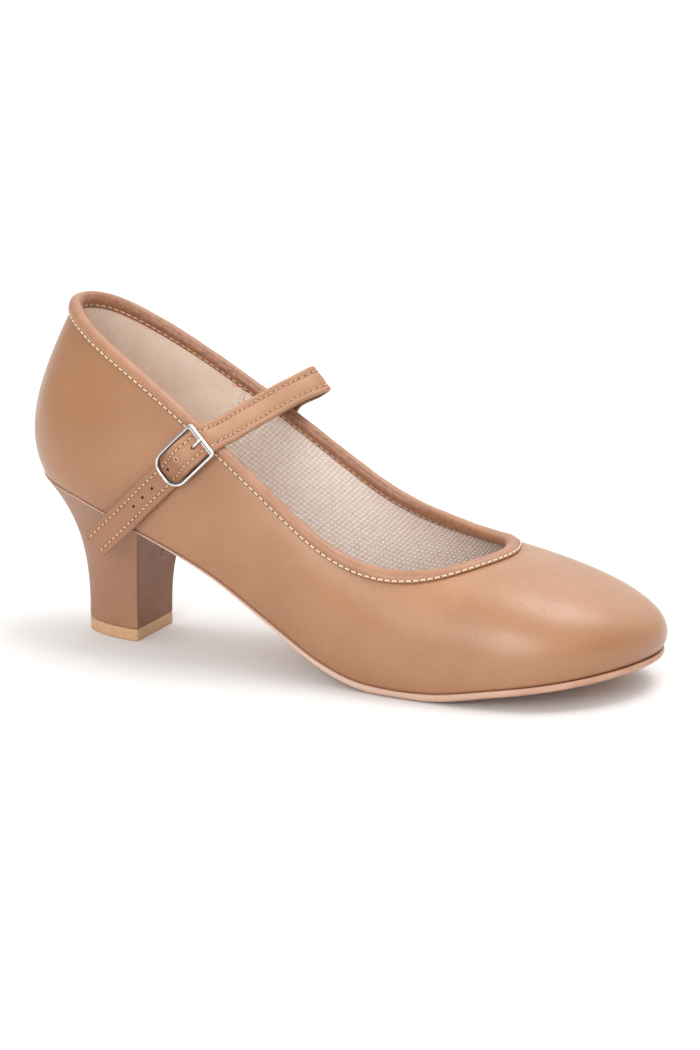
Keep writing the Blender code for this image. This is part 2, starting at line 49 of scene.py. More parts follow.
# the heel tip's box tells where the shoe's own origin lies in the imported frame
heelTip = {"breastX": 46.0, "length": 25.0, "halfWidth": 13.2, "height": 4.4, "edge": 0.5, "around": 72}
tipLow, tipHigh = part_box("heel_tip")
shoeOrigin = np.array([tipHigh.x / mm - heelTip["breastX"], 0.5 * (tipLow.y + tipHigh.y) / mm, 0.0])


def toWorld(points):
    return (np.asarray(points, float) + shoeOrigin) * mm


# Curves and grids

def unit(vectors):
    return vectors / np.linalg.norm(vectors, axis=-1, keepdims=True)


# smooth run between two rows, s from 0 to 1, with the slopes at both
def hermite(s, first, firstSlope, second, secondSlope, length=1.0):
    return ((2 * s**3 - 3 * s**2 + 1) * first + (s**3 - 2 * s**2 + s) * length * firstSlope
            + (3 * s**2 - 2 * s**3) * second + (s**3 - s**2) * length * secondSlope)


# closed smooth curve through table rows, row numbers are its parameter
def loopSpline(values, t):
    count = len(values)
    matrix = 4.0 * np.eye(count) + np.roll(np.eye(count), 1, 0) + np.roll(np.eye(count), -1, 0)
    slopes = np.linalg.solve(matrix, 3.0 * (np.roll(values, -1, 0) - np.roll(values, 1, 0)))
    start = np.floor(t).astype(int)
    a, b = start % count, (start + 1) % count
    return hermite((t - start)[..., None], values[a], slopes[a], values[b], slopes[b])


# open smooth curve through rows at unevenly spaced stations
def smoothAlong(stations, values, place):
    slopes = np.gradient(values, stations, axis=0)
    i = np.clip(np.searchsorted(stations, place) - 1, 0, len(stations) - 2)
    length = (stations[i + 1] - stations[i])[..., None]
    s = (place - stations[i])[..., None] / length
    return hermite(s, values[i], slopes[i], values[i + 1], slopes[i + 1], length)


# rows of a table read at places between its stations
def interpRows(place, stations, rows):
    return np.stack([np.interp(place, stations, column) for column in rows.T], -1)


def distances(points):
    return np.concatenate([[0.0], np.cumsum(np.linalg.norm(np.diff(points, axis=0), axis=-1))])


# points spread evenly over a smooth line through a few rows
def evenLine(rows, count):
    rows = np.asarray(rows, float)
    stations = distances(rows)
    return smoothAlong(stations, rows, np.linspace(0, stations[-1], count))


def bump(distance, width):
    return np.exp(-(distance / width)**2)


# uneven hand work along a length: size, span and shift of each wave
def waver(length, waves):
    return sum(size * np.sin(length / span + shift) for size, span, shift in waves)


def gridFaces(rows, columns, closeRows=False, closeColumns=False):
    i = np.arange(rows if closeRows else rows - 1)
    j = np.arange(columns if closeColumns else columns - 1)
    a, b = i[:, None], ((i + 1) % rows)[:, None]
    c, d = j[None, :], ((j + 1) % columns)[None, :]
    corners = [a * columns + c, b * columns + c, b * columns + d, a * columns + d]
    return np.stack(np.broadcast_arrays(*corners), -1).reshape(-1, 4)


# faces of a sheet with a front grid, a back grid behind it, and rims that join them
def sheetFaces(rows, columns, closeRows):
    count = rows * columns
    front = gridFaces(rows, columns, closeRows)
    i = np.arange(rows if closeRows else rows - 1)
    after = (i + 1) % rows
    rims = [(i * columns, after * columns, False),
            (i * columns + columns - 1, after * columns + columns - 1, True)]
    if not closeRows:
        first = np.arange(columns - 1)
        last = first + (rows - 1) * columns
        rims += [(first, first + 1, True), (last, last + 1, False)]
    groups = [front, front[:, ::-1] + count]
    for a, b, turned in rims:
        rim = np.stack([a, a + count, b + count, b], -1)
        groups.append(rim[:, ::-1] if turned else rim)
    return np.concatenate(groups)


# faces of a tube with both ends covered
def cappedFaces(rows, around):
    last = (rows - 1) * around
    ends = [list(range(around))[::-1], list(range(last, last + around))]
    return gridFaces(rows, around, False, True).tolist() + ends


# several bodies as one list of points and one of faces
def mergeParts(parts):
    points, faces, start = [], [], 0
    for partPoints, partFaces in parts:
        points.append(np.asarray(partPoints).reshape(-1, 3))
        faces += [[start + i for i in face] for face in partFaces]
        start += len(points[-1])
    return np.concatenate(points), faces


def smoothShade(mesh, sharp=None):
    mesh.shade_smooth()
    if sharp:
        mesh.set_sharp_from_angle(angle=math.radians(sharp))


def newMesh(name, points, faces, sharp=None):
    mesh = bpy.data.meshes.new(name)
    mesh.from_pydata(toWorld(points).reshape(-1, 3).tolist(), [], [list(map(int, face)) for face in faces])
    smoothShade(mesh, sharp)
    return mesh


# turns the faces of a closed body outwards
def fixNormals(mesh):
    work = bmesh.new()
    work.from_mesh(mesh)
    bmesh.ops.recalc_face_normals(work, faces=work.faces)
    work.to_mesh(mesh)
    work.free()


def newObject(name, data):
    item = bpy.data.objects.new(name, data)
    bpy.context.scene.collection.objects.link(item)
    return item


def newPiece(name, mesh, material=None):
    if material:
        mesh.materials.clear()
        mesh.materials.append(material)
    return newObject(name, mesh)


# the evaluated piece becomes a plain mesh, with its modifiers gone
def makePlain(piece):
    bpy.context.view_layer.update()
    graph = bpy.context.evaluated_depsgraph_get()
    mesh = bpy.data.meshes.new_from_object(piece.evaluated_get(graph))
    piece.modifiers.clear()
    piece.data = mesh
    mesh.name = piece.name
    return piece


def addVectors(mesh, name, vectors):
    layer = mesh.attributes.new(name, "FLOAT_VECTOR", "POINT")
    layer.data.foreach_set("vector", np.asarray(vectors, np.float32).reshape(-1))


# marks how far each point takes painted shade: inner faces, a painted shadow line along edges, the heel's
# breast, and a painted dark reflection on the buckle's metal
def markPaintedShade(mesh, amount):
    layer = mesh.attributes.new("inside", "FLOAT", "POINT")
    layer.data.foreach_set("value", np.ascontiguousarray(amount, np.float32).reshape(-1))


def finishPiece(piece, replaced=()):
    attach(piece, "root")
    if replaced:
        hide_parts(*replaced)
    return piece


# closed body, finished as one piece
def solidPiece(name, points, faces, material, replaced=(), slot=None, sharp=None):
    mesh = newMesh(name, points, faces, sharp)
    fixNormals(mesh)
    return finishPiece(newPiece(name, mesh, material), replaced)


# Materials

def startMaterial(name, colour, roughness, settings):
    material = bpy.data.materials.new(name)
    material.use_nodes = True
    tree = material.node_tree
    shader = tree.nodes["Principled BSDF"]
    shader.inputs["Base Color"].default_value = (*colour, 1.0)
    shader.inputs["Roughness"].default_value = roughness
    for label, value in settings.items():
        shader.inputs[label].default_value = value
    place = tree.nodes.new("ShaderNodeTexCoord").outputs["Object"]
    return material, tree, shader, place


# a socket takes a number, a colour or the output of another node
def feed(tree, socket, value):
    if isinstance(value, (int, float)):
        socket.default_value = value
    elif isinstance(value, tuple):
        socket.default_value = (*value, 1.0)
    else:
        tree.links.new(value, socket)


def noise(tree, place, size, detail=3.0, rough=0.55, stretch=None):
    if stretch:
        mapping = tree.nodes.new("ShaderNodeMapping")
        mapping.inputs["Scale"].default_value = stretch
        tree.links.new(place, mapping.inputs["Vector"])
        place = mapping.outputs["Vector"]
    node = tree.nodes.new("ShaderNodeTexNoise")
    node.inputs["Scale"].default_value = 1.0 / (size * mm)
    node.inputs["Detail"].default_value = detail
    node.inputs["Roughness"].default_value = rough
    tree.links.new(place, node.inputs["Vector"])
    return node.outputs["Fac"]


def cells(tree, place, size):
    node = tree.nodes.new("ShaderNodeTexVoronoi")
    node.feature = "SMOOTH_F1"
    node.inputs["Scale"].default_value = 1.0 / (size * mm)
    tree.links.new(place, node.inputs["Vector"])
    return node.outputs["Distance"]


def ramp(tree, value, low, high, start=0.35, end=0.65):
    node = tree.nodes.new("ShaderNodeMapRange")
    node.inputs["From Min"].default_value = start
    node.inputs["From Max"].default_value = end
    node.inputs["To Min"].default_value = low
    node.inputs["To Max"].default_value = high
    tree.links.new(value, node.inputs["Value"])
    return node.outputs["Result"]


# ramp along one axis of the shoe, between two places in millimetres
def rampAlong(tree, place, axis, low, high, start, end):
    split = tree.nodes.new("ShaderNodeSeparateXYZ")
    tree.links.new(place, split.inputs[0])
    origin = shoeOrigin["XYZ".index(axis)]
    return ramp(tree, split.outputs[axis], low, high, (start + origin) * mm, (end + origin) * mm)


def insideMark(tree):
    node = tree.nodes.new("ShaderNodeAttribute")
    node.attribute_name = "inside"
    return node.outputs["Fac"]


def blendColours(tree, factor, first, second):
    node = tree.nodes.new("ShaderNodeMix")
    node.data_type = "RGBA"
    tree.links.new(factor, node.inputs[0])
    feed(tree, node.inputs[6], first)
    feed(tree, node.inputs[7], second)
    return node.outputs[2]


def addBump(tree, shader, height, depth, strength=1.0, after=None):
    node = tree.nodes.new("ShaderNodeBump")
    node.inputs["Strength"].default_value = strength
    node.inputs["Distance"].default_value = depth * mm
    tree.links.new(height, node.inputs["Height"])
    if after:
        tree.links.new(after, node.inputs["Normal"])
    tree.links.new(node.outputs["Normal"], shader.inputs["Normal"])
    return node.outputs["Normal"]


# smooth leather: soft mottling, fine pores and a faint crinkle
def leather(name, look):
    material, tree, shader, place = startMaterial(name, look["colour"], look["roughness"], {
        "Specular IOR Level": look["gloss"], "Coat Weight": look["coat"],
        "Coat Roughness": look["coatRoughness"]})
    cloud = ramp(tree, noise(tree, place, look["cloudSize"], 4.0), 0.0, 1.0)
    colour = blendColours(tree, cloud, look["deep"], look["colour"])
    speck = ramp(tree, noise(tree, place, look["speckSize"], 2.0, 0.7), 0.0, look["speck"], 0.45, 0.75)
    colour = blendColours(tree, speck, colour, look["pale"])
    for axis, start, end, strength in look.get("darkenAlong", ()):     # darker towards an end, or up or down
        amount = rampAlong(tree, place, axis, 0.0, strength, start, end)
        colour = blendColours(tree, amount, colour, look["darkenedColour"])
    if "inside" in look:    # painted shade, darker and crackled, where the mesh is marked for it
        crackle = ramp(tree, noise(tree, place, look["crackleSize"], 4.0, 0.7), 0.0, 1.0, 0.38, 0.62)
        shadedColour = blendColours(tree, crackle, look["inside"], look["insidePale"])
        colour = blendColours(tree, insideMark(tree), colour, shadedColour)
    tree.links.new(colour, shader.inputs["Base Color"])
    low, high = (look["roughness"] + change for change in look["satin"])
    tree.links.new(ramp(tree, noise(tree, place, look["satinSize"]), low, high), shader.inputs["Roughness"])
    grain = addBump(tree, shader, cells(tree, place, look["grainSize"]), look["grainDepth"], look["grain"])
    pores = noise(tree, place, look["poreSize"], 4.0, 0.65)
    addBump(tree, shader, pores, look["poreDepth"], look["grain"], grain)
    return material


tanLook = {
    "colour": (0.412, 0.198, 0.096), "deep": (0.338, 0.152, 0.068), "pale": (0.470, 0.248, 0.145),
    "roughness": 0.38, "gloss": 0.60, "coat": 0.30, "coatRoughness": 0.26,
    "cloudSize": 30.0, "speckSize": 0.7, "speck": 0.40, "crackleSize": 1.5,
    "satinSize": 14.0, "satin": (-0.05, 0.06),      # changes of roughness
    "grain": 0.70, "grainSize": 0.62, "grainDepth": 0.10, "poreSize": 0.32, "poreDepth": 0.08,
}
# binding: painted shade on its inner face and a painted shadow line at its lower outer edge
bindingLook = dict(
    tanLook, colour=(0.378, 0.176, 0.090), deep=(0.310, 0.138, 0.068), cloudSize=9.0, coat=0.12,
    roughness=0.44, grainSize=0.7, inside=(0.222, 0.088, 0.041), insidePale=(0.335, 0.145, 0.068))
# strap: painted shade on its underside; darker lower down, towards its tail
strapLook = dict(
    tanLook, colour=(0.415, 0.207, 0.110), deep=(0.350, 0.166, 0.086), cloudSize=16.0, roughness=0.48,
    gloss=0.45, coat=0.04, inside=(0.150, 0.068, 0.036), insidePale=(0.210, 0.098, 0.054),
    darkenedColour=(0.290, 0.136, 0.072), darkenAlong=(("Z", 84.0, 66.0, 0.80),))
# heel: painted shade on its breast
heelLook = dict(
    tanLook, colour=(0.320, 0.160, 0.091), deep=(0.284, 0.136, 0.075), roughness=0.48, coat=0.03, gloss=0.36,
    inside=(0.216, 0.087, 0.038), insidePale=(0.234, 0.097, 0.045))
frayLook = dict(
    tanLook, colour=(0.860, 0.450, 0.295), deep=(0.790, 0.395, 0.250), pale=(0.900, 0.520, 0.370),
    cloudSize=2.0, roughness=0.60, coat=0.0)
rawLook = dict(
    frayLook, colour=(0.570, 0.345, 0.230), deep=(0.500, 0.290, 0.185), pale=(0.640, 0.420, 0.300))
scuffLook = dict(
    tanLook, colour=(0.055, 0.023, 0.012), deep=(0.045, 0.018, 0.009), pale=(0.075, 0.034, 0.019),
    gloss=0.10, coat=0.0, roughness=0.70)
# upper: painted shade, browner towards the heel, at the toe and low on the wall
upperWithPaintedShade = dict(tanLook, darkenedColour=(0.285, 0.121, 0.044), darkenAlong=(
    ("X", 165.0, 10.0, 0.60), ("X", 200.0, 238.0, 0.45), ("Z", 42.0, 4.0, 0.52)))
tanLeather = leather("tanLeather", upperWithPaintedShade)
bindingLeather = leather("bindingLeather", bindingLook)
strapLeather = leather("strapLeather", strapLook)
heelLeather = leather("heelLeather", heelLook)
frayedLeather = leather("frayedLeather", frayLook)
rawLeather = leather("rawLeather", rawLook)
scuffedLeather = leather("scuffedLeather", scuffLook)

liningLook = {
    "colour": (0.850, 0.720, 0.620), "deep": (0.800, 0.655, 0.550), "cloudSize": 12.0,
    "roughness": 0.62, "gloss": 0.3, "sheen": 0.1,
    "fibreSize": 0.8, "fibre": 0.55, "fibreColour": (0.640, 0.470, 0.360), "fibreStretch": (0.35, 1.0, 1.6),
    "speckSize": 1.3, "speck": 0.5, "speckColour": (0.300, 0.170, 0.100), "grainDepth": 0.05, "grain": 0.6,
}


# undyed lining leather, its flesh side with short fibres and a few dark specks
def liningFinish(look):
    material, tree, shader, place = startMaterial("liningLeather", look["colour"], look["roughness"], {
        "Specular IOR Level": look["gloss"], "Sheen Weight": look["sheen"]})
    cloud = ramp(tree, noise(tree, place, look["cloudSize"]), 0.0, 1.0)
    colour = blendColours(tree, cloud, look["deep"], look["colour"])
    fibres = noise(tree, place, look["fibreSize"], 3.0, 0.75, look["fibreStretch"])
    fibre = ramp(tree, fibres, 0.0, look["fibre"], 0.5, 0.72)
    colour = blendColours(tree, fibre, colour, look["fibreColour"])
    speck = ramp(tree, noise(tree, place, look["speckSize"], 2.0, 0.5), 0.0, look["speck"], 0.735, 0.76)
    tree.links.new(blendColours(tree, speck, colour, look["speckColour"]), shader.inputs["Base Color"])
    addBump(tree, shader, fibres, look["grainDepth"], look["grain"])
    return material


liningLeather = liningFinish(liningLook)

canvasLook = {
    "roughness": 0.85, "gloss": 0.25, "sheen": 0.15, "yarnSize": 2.4,
    # painted shade deep in the toe, darker towards it: from x to x, how much, and the share of each colour
    # that is left
    "toeShadeFrom": 110.0, "toeShadeTo": 185.0, "toeShade": 0.8, "toeShadeShare": (0.63, 0.54, 0.51),
    "fuzzSize": 0.22, "fuzzDepth": 0.05, "fuzz": 0.6,
}


# undyed cotton canvas
def canvas(name, colour, shade):
    look = canvasLook
    material, tree, shader, place = startMaterial(name, colour, look["roughness"], {
        "Specular IOR Level": look["gloss"], "Sheen Weight": look["sheen"]})
    yarn = ramp(tree, noise(tree, place, look["yarnSize"]), 0.0, 1.0, 0.3, 0.7)
    clean = blendColours(tree, yarn, shade, colour)
    # painted shade deep in the toe
    toeShade = rampAlong(tree, place, "X", 0.0, look["toeShade"], look["toeShadeFrom"], look["toeShadeTo"])
    shadedColour = tuple(part * share for part, share in zip(shade, look["toeShadeShare"]))
    tree.links.new(blendColours(tree, toeShade, clean, shadedColour), shader.inputs["Base Color"])
    addBump(tree, shader, noise(tree, place, look["fuzzSize"], 3.0, 0.7), look["fuzzDepth"], look["fuzz"])
    return material


canvasYarn = canvas("canvasYarn", (0.930, 0.880, 0.850), (0.870, 0.800, 0.755))
canvasGround = canvas("canvasGround", (0.800, 0.690, 0.620), (0.740, 0.620, 0.545))
sockCloth = canvas("sockCloth", (0.780, 0.670, 0.590), (0.720, 0.600, 0.520))


threadLook = {"roughness": 0.6, "sheen": 0.2, "plySize": 0.35, "plyShade": 0.8,
              "twistSize": 0.12, "twistStretch": (1.0, 1.0, 0.4), "twistDepth": 0.04, "twist": 0.7}


# sewing thread
def thread(name, colour):
    look = threadLook
    material, tree, shader, place = startMaterial(name, colour, look["roughness"], {
        "Sheen Weight": look["sheen"]})
    ply = ramp(tree, noise(tree, place, look["plySize"], 2.0), 0.0, 1.0)
    darker = tuple(look["plyShade"] * value for value in colour)
    tree.links.new(blendColours(tree, ply, darker, colour), shader.inputs["Base Color"])
    twist = noise(tree, place, look["twistSize"], 1.0, 0.5, look["twistStretch"])
    addBump(tree, shader, twist, look["twistDepth"], look["twist"])
    return material


creamThread = thread("creamThread", (0.860, 0.680, 0.490))
paleThread = thread("paleThread", (0.780, 0.730, 0.680))
tanThread = thread("tanThread", (0.560, 0.320, 0.185))
peachThread = thread("peachThread", (0.820, 0.560, 0.380))
# dark beads of painted shade for the needle holes
needleHoleShade = thread("needleHoleShade", (0.120, 0.050, 0.024))


soleLook = {
    "colour": (0.520, 0.292, 0.190), "deep": (0.445, 0.234, 0.142), "blotchSize": 9.0,
    "roughness": 0.40, "gloss": 0.4, "layerSize": 1.2, "layerStretch": (0.12, 0.12, 1.0),
    "streak": 0.45, "streakColour": (0.610, 0.400, 0.305),
    # painted light and shade: paler along the waist, whose edge faces down, browner round the toe, which
    # faces the front lamp
    "waistLight": (0.660, 0.455, 0.360), "waistLightFrom": 120.0, "waistLightTo": 225.0,
    "layerDepth": 0.08, "fuzzSize": 0.5, "fuzzDepth": 0.05, "grain": 0.5,
}
tipLook = {"colour": (0.600, 0.378, 0.225), "deep": (0.520, 0.312, 0.172), "dustSize": 3.0, "roughness": 0.55,
           "gloss": 0.35, "fuzzSize": 0.35, "fuzzDepth": 0.05, "grain": 0.5}
nickelLook = {"colour": (0.820, 0.810, 0.795), "deep": (0.740, 0.730, 0.715), "darkReflection": (0.150, 0.135, 0.125),
              "cloudSize": 3.0, "roughness": 0.12, "polish": (0.05, 0.13), "polishSize": 1.6,
              "waveSize": 2.2, "waveDepth": 0.03, "wave": 0.35}


# cut and burnished edge of sole leather
def soleFinish(look):
    material, tree, shader, place = startMaterial("soleLeather", look["colour"], look["roughness"], {
        "Specular IOR Level": look["gloss"]})
    blotch = ramp(tree, noise(tree, place, look["blotchSize"], 4.0), 0.0, 1.0)
    colour = blendColours(tree, blotch, look["deep"], look["colour"])
    layers = noise(tree, place, look["layerSize"], 4.0, 0.6, look["layerStretch"])
    streak = ramp(tree, layers, 0.0, look["streak"], 0.45, 0.7)
    colour = blendColours(tree, streak, colour, look["streakColour"])
    # painted light along the waist, fading to the plain colour round the toe
    waist = rampAlong(tree, place, "X", 1.0, 0.0, look["waistLightFrom"], look["waistLightTo"])
    tree.links.new(blendColours(tree, waist, colour, look["waistLight"]), shader.inputs["Base Color"])
    fibre = addBump(tree, shader, layers, look["layerDepth"], look["grain"])
    fuzz = noise(tree, place, look["fuzzSize"], 3.0, 0.7)
    addBump(tree, shader, fuzz, look["fuzzDepth"], look["grain"], fibre)
    return material


# pale moulded rubber of the heel tip
def tipFinish(look):
    material, tree, shader, place = startMaterial("tipRubber", look["colour"], look["roughness"], {
        "Specular IOR Level": look["gloss"]})
    dust = ramp(tree, noise(tree, place, look["dustSize"], 5.0, 0.65), 0.0, 1.0, 0.35, 0.75)
    tree.links.new(blendColours(tree, dust, look["deep"], look["colour"]), shader.inputs["Base Color"])
    addBump(tree, shader, noise(tree, place, look["fuzzSize"], 3.0, 0.7), look["fuzzDepth"], look["grain"])
    return material


# bright nickel plate with faint polishing marks, and a painted dark reflection where the mesh is marked for
# it
def nickelFinish(look):
    material, tree, shader, place = startMaterial("nickelPlate", look["colour"], look["roughness"], {
        "Metallic": 1.0})
    polish = ramp(tree, noise(tree, place, look["polishSize"], 4.0), *look["polish"])
    tree.links.new(polish, shader.inputs["Roughness"])
    cloud = ramp(tree, noise(tree, place, look["cloudSize"], 2.0), 0.0, 1.0)
    bright = blendColours(tree, cloud, look["deep"], look["colour"])
    tree.links.new(blendColours(tree, insideMark(tree), bright, look["darkReflection"]), shader.inputs["Base Color"])
    addBump(tree, shader, noise(tree, place, look["waveSize"], 2.0), look["waveDepth"], look["wave"])
    return material


soleLeather = soleFinish(soleLook)
tipRubber = tipFinish(tipLook)
nickelPlate = nickelFinish(nickelLook)
print("materials made")


# Upper wall: rows round the shoe from the back of the heel, along the lateral side, round the toe and back.
# feather x, feather y, top x, top y, top z, rise, flare, reach, drop
wallRows = np.array((
    (6.0, 0.0, 16.8, 1.0, 118.6, 16.0, 8.0, 13.0, 26.0),         # heel back
    (13.0, -17.5, 22.3, -10.5, 116.5, 16.0, 7.5, 11.5, 26.0),
    (30.0, -26.0, 36.0, -19.0, 109.3, 16.0, 6.0, 8.0, 24.0),
    (52.0, -27.5, 57.0, -24.0, 98.0, 16.0, 4.0, 6.0, 20.0),      # seat, lateral
    (80.0, -26.0, 80.0, -26.5, 82.9, 16.0, 3.0, 5.0, 18.0),
    (105.0, -27.0, 103.0, -27.0, 65.6, 15.0, 3.0, 5.0, 15.0),
    (132.0, -31.0, 124.0, -27.0, 50.1, 14.0, 4.0, 6.0, 12.0),
    (160.0, -33.0, 145.0, -26.0, 42.2, 14.0, 4.0, 8.0, 10.0),    # ball, lateral
    (190.0, -31.0, 164.0, -19.5, 42.2, 15.0, 4.0, 12.0, 8.0),
    (217.0, -18.0, 175.5, -7.5, 44.6, 15.0, 7.0, 24.0, 7.0),
    (231.5, 12.0, 179.5, 4.5, 45.8, 14.0, 9.5, 33.5, 7.5),       # toe
    (219.5, 36.0, 175.5, 15.0, 46.4, 15.0, 7.5, 23.5, 8.0),
    (196.0, 45.0, 164.5, 23.5, 45.3, 15.0, 4.0, 13.0, 8.0),
    (170.0, 45.5, 145.0, 29.5, 47.6, 14.0, 3.0, 9.0, 11.0),      # ball, medial
    (140.0, 37.0, 124.0, 30.0, 54.9, 14.0, 3.0, 7.0, 14.0),
    (108.0, 26.0, 101.0, 28.0, 69.6, 15.0, 3.0, 6.0, 17.0),
    (80.0, 23.0, 77.0, 26.0, 85.2, 16.0, 4.0, 6.0, 20.0),
    (52.0, 25.0, 55.0, 23.0, 99.0, 16.0, 5.0, 7.0, 22.0),        # seat, medial
    (30.0, 25.5, 36.0, 19.0, 109.8, 16.0, 6.0, 8.0, 24.0),
    (13.0, 17.5, 22.3, 12.0, 116.9, 16.0, 7.5, 11.5, 26.0),
))
rowCount = len(wallRows)

# side profile of the sole: x, height of the upper's lower edge
soleRows = np.array((
    (0.0, 61.5), (6.0, 59.5), (30.0, 54.0), (52.0, 46.0), (80.0, 33.6), (105.0, 19.0), (125.0, 8.6),
    (140.0, 4.1), (152.0, 3.2), (168.0, 3.7), (190.0, 7.3), (215.0, 11.2), (240.0, 15.0),
))
# its edge as shown: x, how far it stands out past the upper, thickness
edgeRows = np.array((
    (0.0, 0.10, 0.50), (30.0, 0.10, 0.50), (52.0, 0.20, 0.55), (66.0, 0.50, 0.75), (80.0, 0.65, 0.95),
    (105.0, 0.70, 1.7), (125.0, 0.70, 2.5), (140.0, 0.70, 2.9), (152.0, 0.70, 2.95), (168.0, 0.70, 3.0),
    (190.0, 0.70, 2.85), (215.0, 0.70, 2.85), (240.0, 0.70, 2.85),
))
sole = {
    "gap": 0.50, "around": 480, "across": 28,
    # its side from the upper rim, out to a rounded edge and in to the tread: way out, share of the height
    "rim": ((-1.4, 1.0), (-0.40, 1.0), (-0.12, 0.98), (0.02, 0.92), (0.06, 0.80), (0.06, 0.58), (-0.04, 0.42),
            (-0.45, 0.26), (-1.30, 0.09), (-2.4, 0.0)),
}
small = 1e-3    # step for directions, in wall rows and in heights


def featherHeight(x):
    return smoothAlong(soleRows[:, 0], soleRows[:, 1:2], x)[..., 0]


def soleThickness(x):
    return smoothAlong(edgeRows[:, 0], edgeRows[:, 2:3], x)[..., 0]


def soleStep(t):
    return smoothAlong(edgeRows[:, 0], edgeRows[:, 1:2], featherLine(t, 0.0)[:, 0])


def soleTop(x):
    return featherHeight(x) - sole["gap"]


def soleUnder(x):
    return np.maximum(soleTop(x) - soleThickness(x), 0.0)


def outward(t):
    ahead, behind = loopSpline(wallRows, t + small), loopSpline(wallRows, t - small)
    step = ahead[..., :2] - behind[..., :2]
    return unit(np.stack([step[..., 1], -step[..., 0]], -1))


def featherLine(t, offset):
    return loopSpline(wallRows, t)[..., :2] + outward(t) * offset


# outer face of the upper: t counts rows, h runs from the sole (0) to the topline (1)
def wallPoint(t, h):
    t, h = np.broadcast_arrays(np.asarray(t, float), np.asarray(h, float))
    columns = np.moveaxis(loopSpline(wallRows, t), -1, 0)
    featherX, featherY, topX, topY, topZ, rise, flare, reach, drop = columns
    out = np.concatenate([outward(t), np.zeros(t.shape + (1,))], -1)
    up = np.array([0.0, 0.0, 1.0])
    foot = np.stack([featherX, featherY, featherHeight(featherX)], -1)
    top = np.stack([topX, topY, topZ], -1)
    low = foot + out * flare[..., None] + up * rise[..., None]
    high = top + out * reach[..., None] - up * drop[..., None]
    h = h[..., None]
    return (1 - h)**3 * foot + 3 * (1 - h)**2 * h * low + 3 * (1 - h) * h**2 * high + h**3 * top


# place on the wall with its directions round the shoe, up the wall and out
def wallFrame(t, h):
    point = wallPoint(t, h)
    along = unit(wallPoint(t + small, h) - wallPoint(t - small, h))
    climb = unit(wallPoint(t, np.minimum(h + small, 1.0)) - wallPoint(t, h - small))
    return point, along, climb, unit(np.cross(along, climb))


# place measured up from the topline and out from the wall, with the same directions
def toplineFrame(t, up, out):
    t, up, out = np.broadcast_arrays(np.asarray(t, float), up, out)
    step = np.linalg.norm(wallPoint(t, 1.0) - wallPoint(t, 1.0 - small), axis=-1)
    h = 1.0 + small * np.minimum(up, 0.0) / step
    wall = wallPoint(t, h)
    climb = unit(wall - wallPoint(t, h - small))
    along = unit(wallPoint(t + small, h) - wallPoint(t - small, h))
    normal = unit(np.cross(along, climb))
    return wall + climb * np.maximum(up, 0.0)[..., None] + normal * out[..., None], along, climb, normal


# row numbers spread evenly by length along the wall at one height
def evenRows(start, stop, h, count):
    fine = np.linspace(start, stop, 1200)
    length = distances(wallPoint(fine, h))
    return np.interp(np.linspace(0, length[-1], count + 1), length, fine)


upperLook = {
    "around": 440, "up": 78, "spreadAt": 0.35, "crowdLow": 1.15, "leather": 0.9,
    "turnIn": 0.25, "turnInHeight": 0.5,    # lower edge drawn in under the last
    "below": 0.45, "belowHeight": 3.0,      # reaches down to the sole
    # soft unevenness left by lasting: centre x, y, z, reach and height of each swelling or dent
    "lasting": (
        (30.0, -30.0, 84.0, 20.0, 0.22), (58.0, -30.0, 66.0, 14.0, -0.20), (96.0, -30.0, 52.0, 16.0, 0.16),
        (122.0, -34.0, 30.0, 15.0, -0.18), (150.0, -36.0, 24.0, 16.0, 0.14),
        (186.0, -24.0, 34.0, 13.0, -0.12), (198.0, 8.0, 42.0, 16.0, 0.12),
        (180.0, 44.0, 24.0, 15.0, 0.15), (120.0, 34.0, 38.0, 16.0, -0.18),
        (60.0, 30.0, 72.0, 18.0, 0.20), (8.0, 4.0, 96.0, 14.0, -0.16), (140.0, 42.0, 20.0, 12.0, -0.12),
    ),
}


def lastingRelief(points):
    relief = np.zeros(points.shape[:-1])
    for x, y, z, reach, height in upperLook["lasting"]:
        relief += height * bump(np.linalg.norm(points - np.array((x, y, z)), axis=-1), reach)
    return relief


def makeUpper():
    t = evenRows(0, rowCount, upperLook["spreadAt"], upperLook["around"])[:-1]
    h = np.linspace(0, 1, upperLook["up"] + 1)**upperLook["crowdLow"]
    point, _, climb, normal = wallFrame(t[:, None], h[None, :])
    height = np.cumsum(np.linalg.norm(np.diff(point, axis=1, prepend=point[:, :1]), axis=-1), axis=1)
    turned = upperLook["turnIn"] * bump(height, upperLook["turnInHeight"])
    point = point - climb * (upperLook["below"] * bump(height, upperLook["belowHeight"]))[..., None]
    outer = point + normal * (lastingRelief(point) - turned)[..., None]
    inner = point - normal * (upperLook["leather"] + turned)[..., None]
    mesh = newMesh("upperLeather", [outer, inner], sheetFaces(len(t), len(h), True))
    finishPiece(newPiece("upperLeather", mesh, tanLeather), ["upper"])


lining = {
    "lateralSeam": 3.65, "medialSeam": 16.32, "seamTop": 0.93, "seamSlant": 0.85, "front": -1.05, "top": 0.97,
    "around": 300, "up": 40, "leatherDepth": 0.55, "canvasDepth": 0.40,
    # seam between leather and canvas: heights, way behind the canvas's edge, way off the lining's back
    "sewnHeights": (0.30, 0.955), "sewnBehind": 0.05, "sewnLift": 0.62, "sewnPoints": 120,
}


# wall row where leather lining meets canvas; the seam slants back towards the insole
def seamRow(side, h):
    back = lining["seamSlant"] * (lining["seamTop"] - h)
    return lining["medialSeam"] + back if side == "medial" else lining["lateralSeam"] - back


